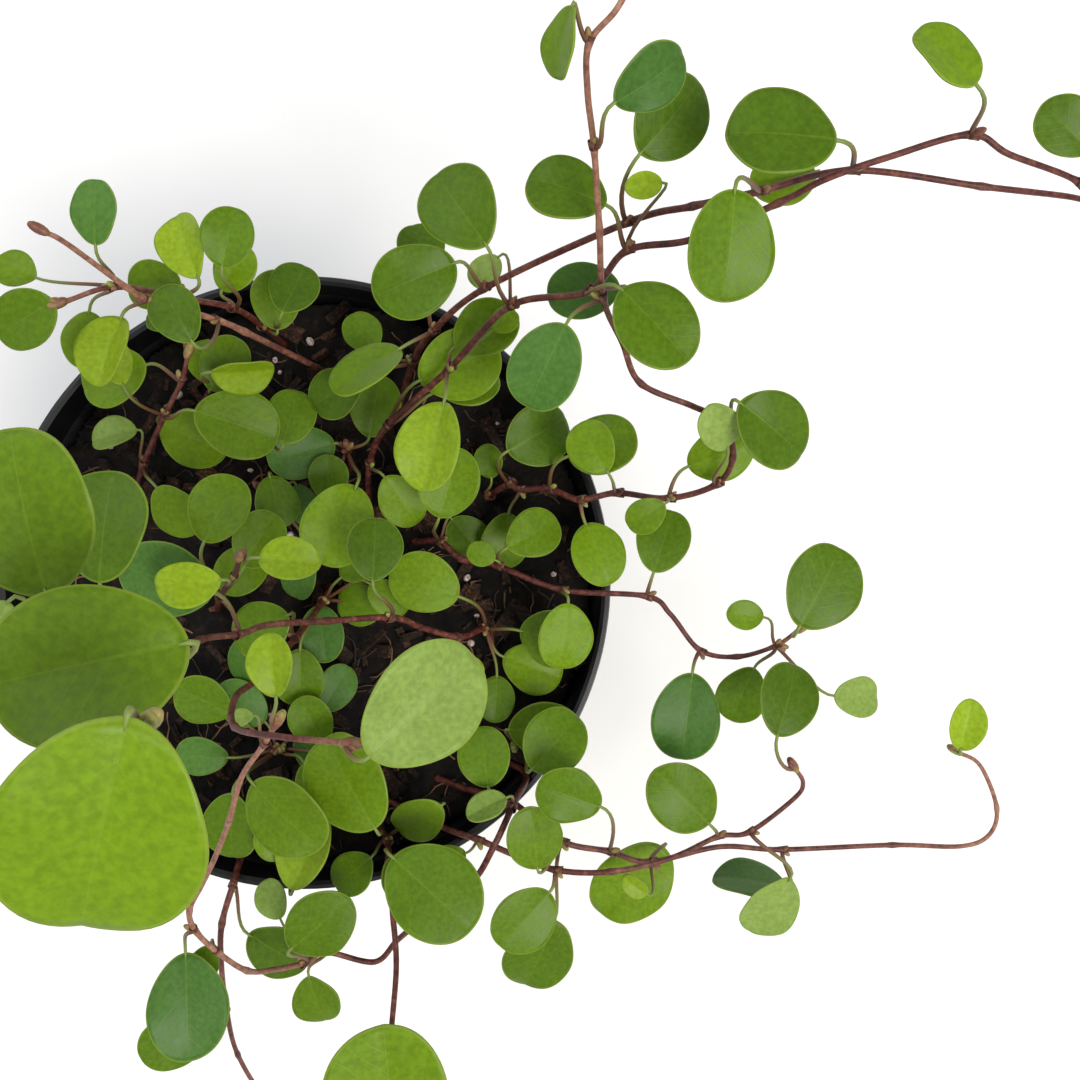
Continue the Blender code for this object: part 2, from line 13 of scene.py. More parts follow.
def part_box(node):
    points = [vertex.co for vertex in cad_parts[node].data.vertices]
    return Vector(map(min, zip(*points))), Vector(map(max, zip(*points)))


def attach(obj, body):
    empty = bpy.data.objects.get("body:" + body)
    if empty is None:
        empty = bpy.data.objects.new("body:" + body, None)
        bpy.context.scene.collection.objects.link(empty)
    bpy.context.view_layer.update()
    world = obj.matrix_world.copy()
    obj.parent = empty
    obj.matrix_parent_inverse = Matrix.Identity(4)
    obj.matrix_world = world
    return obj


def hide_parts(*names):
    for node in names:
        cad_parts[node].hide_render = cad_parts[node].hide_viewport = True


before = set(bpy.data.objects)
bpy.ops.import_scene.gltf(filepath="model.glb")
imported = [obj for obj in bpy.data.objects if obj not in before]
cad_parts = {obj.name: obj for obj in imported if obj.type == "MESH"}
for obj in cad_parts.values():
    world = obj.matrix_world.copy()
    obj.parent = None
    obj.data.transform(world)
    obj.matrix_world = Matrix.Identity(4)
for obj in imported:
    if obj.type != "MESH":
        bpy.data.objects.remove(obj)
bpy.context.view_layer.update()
MM = 0.001

# ---------------------------------------------------------------------------------------------------------
# Nursery pot. Thin injection-moulded polypropylene, black, with a rolled rim band that stiffens the mouth,
# a tapering wall, a stacking ledge near the foot and eight drain holes. Moulded in one shot.

pot_low, pot_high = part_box("nursery_pot")
POT_HEIGHT = pot_high.z
RIM_RADIUS = pot_high.x
BASE_RADIUS = 37 * MM
RIM_BAND = 10 * MM
WALL = 1.0 * MM
POT_STEPS = 160
HOLE_COUNT = 8
HOLE_RADIUS = 3.5 * MM
HOLE_RING = 27 * MM


def linear(hex_colour):
    """A #rrggbb colour, given in sRGB, as the linear RGBA that sockets take."""
    channels = [int(hex_colour[at : at + 2], 16) / 255 for at in (1, 3, 5)]
    return (*[c / 12.92 if c <= 0.04045 else ((c + 0.055) / 1.055) ** 2.4 for c in channels], 1)


def add_node(tree, kind, inputs=(), stops=(), **settings):
    """A node with its settings. inputs maps an input's name or number to a value or to the socket it takes.

    stops are a colour ramp's (position, colour or grey) stops.
    """
    made = tree.nodes.new("ShaderNode" + kind)
    for number, (position, colour) in enumerate(stops):
        elements = made.color_ramp.elements
        element = elements[number] if number < len(elements) else elements.new(position)
        element.position = position
        element.color = linear(colour) if isinstance(colour, str) else (colour, colour, colour, 1)
    for name, value in settings.items():
        setattr(made, name, value)
    for name, value in dict(inputs).items():
        if isinstance(value, bpy.types.NodeSocket):
            tree.links.new(value, made.inputs[name])
        else:
            made.inputs[name].default_value = value
    return made


def new_material(name, **sockets):
    """(material, tree, shader) with the shader's constant sockets set."""
    material = bpy.data.materials.new(name)
    material.use_nodes = True
    tree = material.node_tree
    shader = tree.nodes["Principled BSDF"]
    for socket, value in sockets.items():
        shader.inputs[socket.replace("_", " ")].default_value = value
    return material, tree, shader


def select_only(*things):
    bpy.ops.object.select_all(action="DESELECT")
    for thing in things:
        thing.select_set(True)
    bpy.context.view_layer.objects.active = things[-1]


def spun(name, profile, steps):
    """A solid of revolution: one point is extruded along the (radius, height) profile, then spun about Z."""
    bpy.ops.object.select_all(action="DESELECT")
    bpy.ops.mesh.primitive_plane_add(size=MM, location=(0, 0, 0))
    piece = bpy.context.object
    piece.name = piece.data.name = name
    bpy.ops.object.mode_set(mode="EDIT")
    bpy.ops.mesh.merge(type="CENTER")
    bpy.ops.transform.translate(value=(profile[0][0], 0, profile[0][1]))
    for (r0, z0), (r1, z1) in zip(profile, profile[1:]):
        bpy.ops.mesh.extrude_region_move(TRANSFORM_OT_translate={"value": (r1 - r0, 0, z1 - z0)})
    bpy.ops.mesh.select_all(action="SELECT")
    bpy.ops.mesh.spin(steps=steps, angle=math.tau, center=(0, 0, 0), axis=(0, 0, 1))
    bpy.ops.mesh.select_all(action="SELECT")
    bpy.ops.mesh.remove_doubles(threshold=0.01 * MM)
    bpy.ops.mesh.normals_make_consistent(inside=False)
    bpy.ops.object.mode_set(mode="OBJECT")
    return piece


def apply_modifier(piece, kind, **settings):
    select_only(piece)
    modifier = piece.modifiers.new(kind.lower(), kind)
    for name, value in settings.items():
        setattr(modifier, name, value)
    bpy.ops.object.modifier_apply(modifier=modifier.name)


shoulder = POT_HEIGHT - RIM_BAND
wall_top = RIM_RADIUS - 1.7 * MM
ledge = 14 * MM


def wall_radius(height):
    """The wall's outside radius between the foot and the rim band."""
    return BASE_RADIUS + height / shoulder * (wall_top - BASE_RADIUS)


pot_profile = [
    (RIM_RADIUS - 0.9 * MM, POT_HEIGHT),
    (RIM_RADIUS - 0.2 * MM, POT_HEIGHT - 0.25 * MM),
    (RIM_RADIUS, POT_HEIGHT - 0.9 * MM),
    (RIM_RADIUS - 0.1 * MM, POT_HEIGHT - 1.8 * MM),
    (RIM_RADIUS - 0.7 * MM, POT_HEIGHT - 2.3 * MM),
    (RIM_RADIUS - 1.0 * MM, shoulder + 1.2 * MM),
    (RIM_RADIUS - 0.6 * MM, shoulder + 0.7 * MM),
    (RIM_RADIUS - 0.6 * MM, shoulder),
    (wall_radius(shoulder) + 0.2 * MM, shoulder - 0.7 * MM),
    (wall_radius(shoulder - 2 * MM), shoulder - 2 * MM),
    (wall_radius(ledge), ledge),
    (wall_radius(ledge) - 0.7 * MM, ledge - 0.6 * MM),
    (BASE_RADIUS + 0.2 * MM, 2 * MM),
    (BASE_RADIUS - 0.3 * MM, 0.5 * MM),
    (BASE_RADIUS - 1.6 * MM, 0),
    (BASE_RADIUS - 5 * MM, 0),
    (BASE_RADIUS - 5.6 * MM, 0.4 * MM),
    (8 * MM, 0.4 * MM),
    (7.4 * MM, 0),
    (0, 0),
    (0, WALL),
    (BASE_RADIUS - 1.2 * MM, WALL),
    (wall_radius(2 * WALL) - WALL, 2 * WALL),
    (wall_radius(shoulder) - WALL, shoulder),
    (RIM_RADIUS - 1.6 * MM, shoulder + 1.5 * MM),
    (RIM_RADIUS - 1.5 * MM, POT_HEIGHT - 0.5 * MM),
]
pot_profile.append(pot_profile[0])
pot = spun("pot_moulding", pot_profile, POT_STEPS)
bpy.ops.mesh.primitive_cylinder_add(
    radius=HOLE_RADIUS, depth=6 * WALL, vertices=32, location=(HOLE_RING, 0, 0)
)
drain = bpy.context.object
for hole in range(HOLE_COUNT):
    drain.location = (
        HOLE_RING * math.cos(math.tau * hole / HOLE_COUNT),
        HOLE_RING * math.sin(math.tau * hole / HOLE_COUNT),
        0,
    )
    apply_modifier(pot, "BOOLEAN", operation="DIFFERENCE", object=drain)
bpy.data.objects.remove(drain)
select_only(pot)
bpy.ops.object.shade_smooth_by_angle(angle=math.radians(35))

# Carbon-black polypropylene, injection moulded: a deep black with a soft sheen, faint flow marks down the
# wall and a little pale dust from the mix.
polypropylene, tree, shader = new_material("black_polypropylene", IOR=1.49, Specular_IOR_Level=0.5)
place = add_node(tree, "TexCoord").outputs["Object"]
stretch = add_node(tree, "Mapping", {"Vector": place, "Scale": (1, 1, 0.15)}).outputs["Vector"]
flow = add_node(tree, "TexNoise", {"Vector": stretch, "Scale": 1 / (4.5 * MM), "Detail": 3.0}).outputs["Fac"]
dust = add_node(
    tree, "TexNoise", {"Vector": place, "Scale": 1 / (11 * MM), "Detail": 9.0, "Roughness": 0.75}
).outputs["Fac"]
wall_colour = add_node(
    tree, "ValToRGB", {"Fac": dust}, ((0.5, "#0c0d0f"), (0.66, "#15161a"), (0.8, "#3a3733"))
)
tree.links.new(wall_colour.outputs["Color"], shader.inputs["Base Color"])
wall_roughness = add_node(tree, "ValToRGB", {"Fac": flow}, ((0.3, 0.30), (0.7, 0.48)))
tree.links.new(wall_roughness.outputs["Color"], shader.inputs["Roughness"])
grain = add_node(tree, "TexNoise", {"Vector": place, "Scale": 1 / (0.4 * MM), "Detail": 2.0}).outputs["Fac"]
fine = add_node(tree, "Bump", {"Height": grain, "Strength": 0.12, "Distance": 0.1 * MM})
rough = add_node(
    tree, "Bump", {"Height": flow, "Strength": 0.06, "Distance": 0.1 * MM, "Normal": fine.outputs[0]}
)
tree.links.new(rough.outputs["Normal"], shader.inputs["Normal"])
pot.data.materials.append(polypropylene)
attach(pot, "root")
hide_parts("nursery_pot")

# ---------------------------------------------------------------------------------------------------------
# Potting mix. Dark peat, filled to a finger's width under the rim, with composted bark, coir fibres and
# crumbs of perlite. The solid below holds the root ball. The loose top is a crumbled sheet with bits on it.

MIX_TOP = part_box("potting_mix")[1].z
MIX_RADIUS = 49.6 * MM
CHIP_COUNT = 420
FIBRE_COUNT = 170
PERLITE_COUNT = 46

# Moist peat and composted bark, sieved: near-black with brown crumbs, quite matt.
peat, tree, shader = new_material("peat_and_bark", Roughness=0.88, Specular_IOR_Level=0.25)
place = add_node(tree, "TexCoord").outputs["Object"]
crumbs = add_node(
    tree, "TexNoise", {"Vector": place, "Scale": 1 / (2 * MM), "Detail": 8.0, "Roughness": 0.7}
).outputs["Fac"]
clod_tint = add_node(tree, "TexVoronoi", {"Vector": place, "Scale": 1 / (2.4 * MM)}).outputs["Color"]
peat_colour = add_node(
    tree, "ValToRGB", {"Fac": crumbs},
    ((0.36, "#050403"), (0.52, "#0f0b08"), (0.62, "#20150e"), (0.74, "#3c2a1d"))
).outputs["Color"]
tint = add_node(
    tree, "Mix", {"Factor": 0.35, 6: peat_colour, 7: clod_tint}, data_type="RGBA", blend_type="MULTIPLY"
)
tree.links.new(tint.outputs[2], shader.inputs["Base Color"])
lumps = add_node(tree, "Bump", {"Height": crumbs, "Strength": 0.9, "Distance": 0.5 * MM})
tree.links.new(lumps.outputs["Normal"], shader.inputs["Normal"])
root_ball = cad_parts["potting_mix"]
root_ball.data.materials.clear()
root_ball.data.materials.append(peat)

bpy.ops.object.select_all(action="DESELECT")
bpy.ops.mesh.primitive_grid_add(
    x_subdivisions=190, y_subdivisions=190, size=2 * MIX_RADIUS, location=(0, 0, 0)
)
mix_surface = bpy.context.object
mix_surface.name = mix_surface.data.name = "mix_surface"
bpy.ops.object.mode_set(mode="EDIT")
bpy.ops.mesh.select_all(action="DESELECT")
shape = bmesh.from_edit_mesh(mix_surface.data)
for vert in shape.verts:
    vert.select = vert.co.xy.length > MIX_RADIUS
shape.select_flush(True)
bmesh.update_edit_mesh(mix_surface.data)
bpy.ops.mesh.delete(type="VERT")
bpy.ops.mesh.select_all(action="SELECT")
bpy.ops.transform.translate(value=(0, 0, MIX_TOP + 1.1 * MM))
bpy.ops.object.mode_set(mode="OBJECT")
for width, depth in ((11 * MM, 2.6 * MM), (3.2 * MM, 1.6 * MM), (1.1 * MM, 0.8 * MM)):
    clods = bpy.data.textures.new("clods", "CLOUDS")
    clods.noise_scale = width
    clods.noise_depth = 2
    apply_modifier(mix_surface, "DISPLACE", texture=clods, strength=depth, mid_level=0.5, direction="Z")
apply_modifier(mix_surface, "SOLIDIFY", thickness=1.2 * MM, offset=-1)
bpy.ops.object.shade_smooth()
mix_surface.data.materials.append(peat)
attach(mix_surface, "root")
mix_tree = BVHTree.FromObject(mix_surface, bpy.context.evaluated_depsgraph_get())
chance = random.Random(7)


def on_mix(spread=0.985):
    """A point on the crumbled surface, evenly likely anywhere inside the pot."""
    radius = MIX_RADIUS * spread * math.sqrt(chance.random())
    angle = chance.uniform(0, math.tau)
    above = Vector((radius * math.cos(angle), radius * math.sin(angle), MIX_TOP + 30 * MM))
    hit = mix_tree.ray_cast(above, Vector((0, 0, -1)))[0]
    return hit if hit else Vector((above.x, above.y, MIX_TOP + 1 * MM))


def scattered(name, master, transforms, material):
    """One piece that holds a copy of the master's mesh at each transform."""
    shape = bmesh.new()
    for transform in transforms:
        before = len(shape.verts)
        shape.from_mesh(master.data)
        shape.verts.ensure_lookup_table()
        bmesh.ops.transform(shape, matrix=transform, verts=shape.verts[before:])
    mesh = bpy.data.meshes.new(name)
    shape.to_mesh(mesh)
    shape.free()
    piece = bpy.data.objects.new(name, mesh)
    bpy.context.scene.collection.objects.link(piece)
    mesh.materials.append(material)
    bpy.data.objects.remove(master)
    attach(piece, "root")
    return piece


def lying(width, depth, height, tilt=0.5, sink=0.2):
    """A transform that lays a unit shape on the mix at a random turn, a little sunk and tilted."""
    spot = on_mix(0.97)
    turn = Matrix.Rotation(chance.uniform(0, math.tau), 4, "Z")
    lean = Matrix.Rotation(chance.gauss(0, tilt), 4, "X") @ Matrix.Rotation(chance.gauss(0, tilt), 4, "Y")
    size = Matrix.Diagonal((width, depth, height, 1))
    return Matrix.Translation(spot + Vector((0, 0, height * sink))) @ turn @ lean @ size


bpy.ops.mesh.primitive_cube_add(size=1, location=(0, 0, 0))
chip = bpy.context.object
bpy.ops.object.mode_set(mode="EDIT")
bpy.ops.mesh.subdivide(number_cuts=1)
bpy.ops.transform.vertex_random(offset=0.13, seed=4)
bpy.ops.object.mode_set(mode="OBJECT")
bark, tree, shader = new_material("composted_bark", Roughness=0.8, Specular_IOR_Level=0.3)
place = add_node(tree, "TexCoord").outputs["Object"]
patches = add_node(tree, "TexNoise", {"Vector": place, "Scale": 1 / (6.5 * MM), "Detail": 2.0}).outputs["Fac"]
grain = add_node(tree, "TexNoise", {"Vector": place, "Scale": 1 / (0.55 * MM), "Detail": 6.0}).outputs["Fac"]
both = add_node(tree, "Math", {0: patches, 1: grain}, operation="ADD").outputs[0]
halved = add_node(tree, "Math", {0: both, 1: 0.5}, operation="MULTIPLY").outputs[0]
bark_colour = add_node(
    tree, "ValToRGB", {"Fac": halved},
    ((0.38, "#0d0805"), (0.48, "#1e130c"), (0.56, "#372214"), (0.68, "#6b4c33"))
).outputs["Color"]
tree.links.new(bark_colour, shader.inputs["Base Color"])
ridges = add_node(tree, "Bump", {"Height": grain, "Strength": 0.7, "Distance": 0.3 * MM})
tree.links.new(ridges.outputs["Normal"], shader.inputs["Normal"])
chips = []
for number in range(CHIP_COUNT):
    long = chance.uniform(1.2, 5.5) * MM * (1.5 if number % 12 == 0 else 1)
    chips.append(lying(long, long * chance.uniform(0.2, 0.6), chance.uniform(0.4, 1.3) * MM))
scattered("bark_chips", chip, chips, bark)

bpy.ops.mesh.primitive_ico_sphere_add(subdivisions=2, radius=0.5, location=(0, 0, 0))
grain_of_perlite = bpy.context.object
bpy.ops.object.mode_set(mode="EDIT")
bpy.ops.transform.vertex_random(offset=0.09, seed=2)
bpy.ops.object.mode_set(mode="OBJECT")
bpy.ops.object.shade_smooth()
perlite, tree, shader = new_material("expanded_perlite", Roughness=0.9)
place = add_node(tree, "TexCoord").outputs["Object"]
pores = add_node(tree, "TexNoise", {"Vector": place, "Scale": 1 / (0.45 * MM), "Detail": 4.0}).outputs["Fac"]
grain_colour = add_node(tree, "ValToRGB", {"Fac": pores}, ((0.35, "#8c6f66"), (0.6, "#d9c8c0")))
tree.links.new(grain_colour.outputs["Color"], shader.inputs["Base Color"])
pits = add_node(tree, "Bump", {"Height": pores, "Strength": 0.8, "Distance": 0.3 * MM})
tree.links.new(pits.outputs["Normal"], shader.inputs["Normal"])
grains = []
for number in range(PERLITE_COUNT):
    across = chance.uniform(0.7, 1.9) * MM
    grains.append(lying(across, across * chance.uniform(0.7, 1), across * chance.uniform(0.6, 0.9)))
scattered("perlite_grains", grain_of_perlite, grains, perlite)


def tube(route, radii, sides):
    """(points, faces) of a closed tube along the route, ring by ring, turned as little as possible."""
    ways = [(after - before).normalized() for before, after in zip(route, route[1:])]
    ways.append(ways[-1])
    side = ways[0].orthogonal().normalized()
    points = []
    for at, (centre, radius) in enumerate(zip(route, radii)):
        way = (ways[at] + ways[max(at - 1, 0)]).normalized()
        side = (side - side.project(way)).normalized()
        over = way.cross(side)
        for corner in range(sides):
            angle = math.tau * corner / sides
            points.append(centre + (side * math.cos(angle) + over * math.sin(angle)) * radius)
    faces = [list(reversed(range(sides)))]
    for ring in range(len(route) - 1):
        for corner in range(sides):
            after = (corner + 1) % sides
            low, high = ring * sides, (ring + 1) * sides
            faces.append([low + corner, low + after, high + after, high + corner])
    faces.append([len(points) - sides + corner for corner in range(sides)])
    return points, faces


fibre_points, fibre_faces = [], []
for number in range(FIBRE_COUNT):
    start = on_mix(0.95) + Vector((0, 0, 0.3 * MM))
    heading = chance.uniform(0, math.tau)
    route = [start]
    for step in range(7):
        heading += chance.gauss(0, 0.45)
        rise = chance.gauss(0, 0.25) * MM
        stride = Vector((math.cos(heading), math.sin(heading), 0)) * chance.uniform(0.7, 1.9) * MM
        following = route[-1] + stride + Vector((0, 0, rise))
        if following.xy.length < MIX_RADIUS - 1 * MM:
            route.append(following)
    if len(route) > 2:
        thick = chance.uniform(0.07, 0.2) * MM
        points, faces = tube(route, [thick] * len(route), 4)
        fibre_faces += [[corner + len(fibre_points) for corner in face] for face in faces]
        fibre_points += points
fibre_mesh = bpy.data.meshes.new("coir_fibres")
fibre_mesh.from_pydata(fibre_points, [], fibre_faces)
coir_fibres = bpy.data.objects.new("coir_fibres", fibre_mesh)
bpy.context.scene.collection.objects.link(coir_fibres)
coir, tree, shader = new_material("coir", Roughness=0.75)
place = add_node(tree, "TexCoord").outputs["Object"]
strands = add_node(tree, "TexNoise", {"Vector": place, "Scale": 1 / (6 * MM), "Detail": 1.0}).outputs["Fac"]
coir_colour = add_node(
    tree, "ValToRGB", {"Fac": strands}, ((0.38, "#1c110b"), (0.5, "#3f2517"), (0.62, "#7a583a"))
).outputs["Color"]
tree.links.new(coir_colour, shader.inputs["Base Color"])
fibre_mesh.materials.append(coir)
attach(coir_fibres, "root")

# ---------------------------------------------------------------------------------------------------------
# The vine. Its shoots are listed one by one, as they grow: heights count from the top of the pot's rim, in
# whole millimetres. A leaf grows from stem joint number `joint`. Its blade starts at (x, y, h), points along
# heading, and pitches up or rolls to its left by so many degrees. Its age sets its colour and its fold.

Leaf = namedtuple("Leaf", "joint x y h heading length age pitch roll", defaults=(0, 0))

# The eight long runners. Each is its stem's joints (x, y, h), from the soil to the tip, and its leaves.
RUNNERS = {
    "upper_runner": (
        [(15, 30, -9), (19, 37, 3), (23, 41, 10), (32, 45, 24), (52, 50, 42), (60, 50, 50), (68, 51, 53),
         (79, 53, 55), (95, 51, 55), (107, 51, 51), (113, 51, 48), (119, 52, 46)],
        [Leaf(1, 12, 39, 1, 117, 8, "mature"), Leaf(2, 18, 38, 12, 214, 13, "fresh", 0, 35),
         Leaf(2, 23, 49, 16, 108, 9, "mature"), Leaf(3, 28, 48, 28, 203, 13, "mature"),
         Leaf(4, 53, 56, 52, 49, 12, "mature", 5, 25), Leaf(6, 63, 48, 64, 266, 13, "mature"),
         Leaf(6, 76, 55, 48, 196, 9, "fresh"), Leaf(7, 75, 54, 63, 176, 13, "mature", 0, 25),
         Leaf(10, 114, 48, 50, 294, 8, "mature"), Leaf(11, 120, 53, 49, 23, 7, "fresh"),
         Leaf(1, 11, 34, 8, 208, 10, "mature", 0, 15)],
    ),
    "node_runner": (
        [(10, 13, -9), (11, 20, -2), (15, 26, 6), (26, 34, 16), (36, 42, 26), (47, 42, 36), (52, 46, 43),
         (60, 46, 49), (70, 49, 55), (75, 51, 58), (82, 53, 60), (91, 55, 62), (96, 53, 61), (106, 51, 57),
         (112, 48, 53), (118, 45, 49)],
        [Leaf(1, 14, 18, 1, 306, 10, "fresh"), Leaf(3, 26, 28, 24, 257, 14, "young"),
         Leaf(2, 21, 33, 11, 21, 14, "fresh"), Leaf(2, 24, 32, 4, 11, 10, "fresh"),
         Leaf(4, 33, 48, 38, 125, 13, "mature"), Leaf(5, 51, 40, 44, 313, 13, "mature"),
         Leaf(5, 52, 44, 30, 185, 11, "old"), Leaf(6, 49, 51, 47, 158, 11, "mature", 0, 8),
         Leaf(6, 56, 53, 48, 191, 5, "young"), Leaf(3, 27, 38, 8, 28, 11, "fresh"),
         Leaf(3, 33, 40, 10, 40, 5, "fresh"), Leaf(4, 34, 51, 19, 225, 6, "pale"),
         Leaf(11, 88, 57, 72, 135, 9, "fresh", 0, 35), Leaf(13, 105, 53, 62, 140, 8, "mature"),
         Leaf(15, 119, 44, 50, 286, 8, "mature", -10)],
    ),
    "looping_climber": (
        [(31, 15, -9), (35, 17, -4), (37, 16, -2), (42, 16, 1), (47, 14, 5), (53, 15, 8), (61, 14, 12),
         (68, 16, 16), (70, 20, 20), (68, 25, 24), (63, 27, 27), (55, 30, 30), (52, 35, 35), (49, 40, 41),
         (48, 47, 50), (47, 55, 57), (46, 60, 62), (46, 64, 66), (49, 67, 68), (51, 71, 68), (52, 76, 66)],
        [Leaf(1, 35, 22, 6, 30, 12, "mature"), Leaf(0, 32, 18, -1, 97, 6, "mature"),
         Leaf(2, 35, 12, -3, 261, 10, "fresh"), Leaf(3, 45, 21, 8, 18, 12, "fresh"),
         Leaf(5, 51, 18, 16, 122, 9, "fresh"), Leaf(4, 48, 10, 4, 293, 11, "fresh"),
         Leaf(6, 64, 19, 13, 20, 11, "fresh", 0, 10), Leaf(6, 60, 13, 16, 212, 7, "fresh"),
         Leaf(7, 68, 21, 27, 121, 8, "pale", 25), Leaf(9, 69, 27, 32, 324, 13, "mature"),
         Leaf(13, 44, 37, 36, 244, 13, "old"), Leaf(15, 49, 58, 64, 31, 10, "old", 0, 50),
         Leaf(17, 44, 67, 69, 253, 8, "fresh", -10, 40), Leaf(20, 53, 77, 68, 49, 6, "fresh")],
    ),
    "right_runner": (
        [(18, 7, -9), (23, 7, -4), (27, 4, -1), (33, 3, 1), (44, -1, 4), (58, -2, 6), (62, -5, 6),
          (67, -11, 5),
         (73, -12, 6), (79, -10, 8), (82, -7, 12)],
        [Leaf(1, 24, 11, 9, 72, 12, "fresh"), Leaf(1, 25, 11, 3, 309, 9, "mature"),
         Leaf(3, 35, 6, 6, 28, 10, "fresh"), Leaf(3, 33, 4, 6, 157, 5, "fresh"),
         Leaf(4, 45, -3, 9, 263, 11, "fresh"), Leaf(5, 59, 2, 8, 72, 11, "mature"),
         Leaf(7, 66, -15, 3, 263, 15, "old"), Leaf(9, 76, -5, 13, 173, 6, "fresh"),
         Leaf(10, 80, -6, 21, 62, 14, "mature"), Leaf(9, 76, -14, 5, 247, 10, "mature"),
         Leaf(9, 90, -19, 2, 357, 9, "pale", -35)],
    ),
    "front_runner": (
        [(22, -35, -9), (27, -36, -5), (36, -37, 3), (44, -43, 4), (52, -45, 3), (59, -47, 2), (71, -45, 0),
         (82, -46, -2), (102, -46, -5), (115, -47, -8), (120, -45, -8), (121, -40, -7), (117, -32, -4),
         (112, -29, -1)],
        [Leaf(3, 43, -58, -2, 249, 15, "mature"), Leaf(4, 50, -35, 14, 158, 11, "mature"),
         Leaf(3, 40, -46, 9, 96, 11, "fresh"), Leaf(5, 62, -46, -4, 230, 17, "fresh"),
         Leaf(5, 58, -51, 7, 142, 5, "young", 20), Leaf(7, 83, -53, -2, 169, 13, "old", 0, 75),
         Leaf(13, 111, -28, 3, 81, 9, "young")],
    ),
    "rising_runner": (
        [(13, -39, -9), (24, -42, -1), (30, -43, 3), (36, -45, 5), (43, -47, 7), (52, -47, 8), (62, -45, 7),
         (70, -42, 5), (75, -41, 6), (82, -35, 8), (83, -32, 10), (81, -29, 13)],
        [Leaf(2, 28, -45, 4, 197, 6, "fresh"), Leaf(4, 42, -50, 9, 226, 12, "mature"),
         Leaf(7, 68, -39, 9, 134, 13, "mature"), Leaf(8, 82, -49, 5, 236, 12, "pale"),
         Leaf(11, 77, -23, 19, 71, 12, "mature")],
    ),
    "sweeping_runner": (
        [(34, -32, -9), (38, -33, -1), (36, -36, 8), (33, -42, 11), (29, -49, 8), (20, -57, 3), (16, -61, 0),
         (12, -65, -1), (4, -63, 0), (1, -64, 2), (-3, -63, 8), (-6, -61, 14), (-9, -56, 20), (-11, -51, 25),
         (-11, -47, 28), (-8, -42, 32), (-5, -37, 36), (-2, -31, 40), (1, -24, 45), (5, -19, 50),
          (7, -16, 52)],
        [Leaf(2, 35, -34, 12, 203, 7, "pale", 0, 40), Leaf(2, 32, -33, 9, 98, 10, "mature"),
         Leaf(5, 17, -52, 7, 92, 8, "mature", 0, 40), Leaf(8, 0, -69, -5, 284, 10, "fresh"),
         Leaf(9, 0, -59, 10, 41, 13, "mature"), Leaf(13, -14, -56, 20, 276, 16, "old"),
         Leaf(12, -12, -57, 14, 250, 6, "fresh"), Leaf(9, -3, -56, 4, 114, 7, "pale"),
         Leaf(20, 8, -12, 56, 96, 8, "young"), Leaf(19, 4, -15, 54, 191, 3, "pale")],
    ),
    "trailing_runner": (
        [(-12, -46, -9), (-11, -50, 3), (-13, -57, 3), (-14, -64, 0), (-15, -75, -7), (-15, -87, -15),
         (-12, -101, -26), (-9, -112, -40), (-7, -120, -53)],
        [Leaf(1, -10, -61, -3, 326, 12, "mature"), Leaf(4, -19, -79, -8, 203, 12, "mature"),
         Leaf(6, -8, -103, -24, 313, 9, "mature"), Leaf(7, -12, -114, -39, 203, 8, "fresh"),
         Leaf(8, -7, -122, -53, 290, 8, "fresh")],
    ),
}

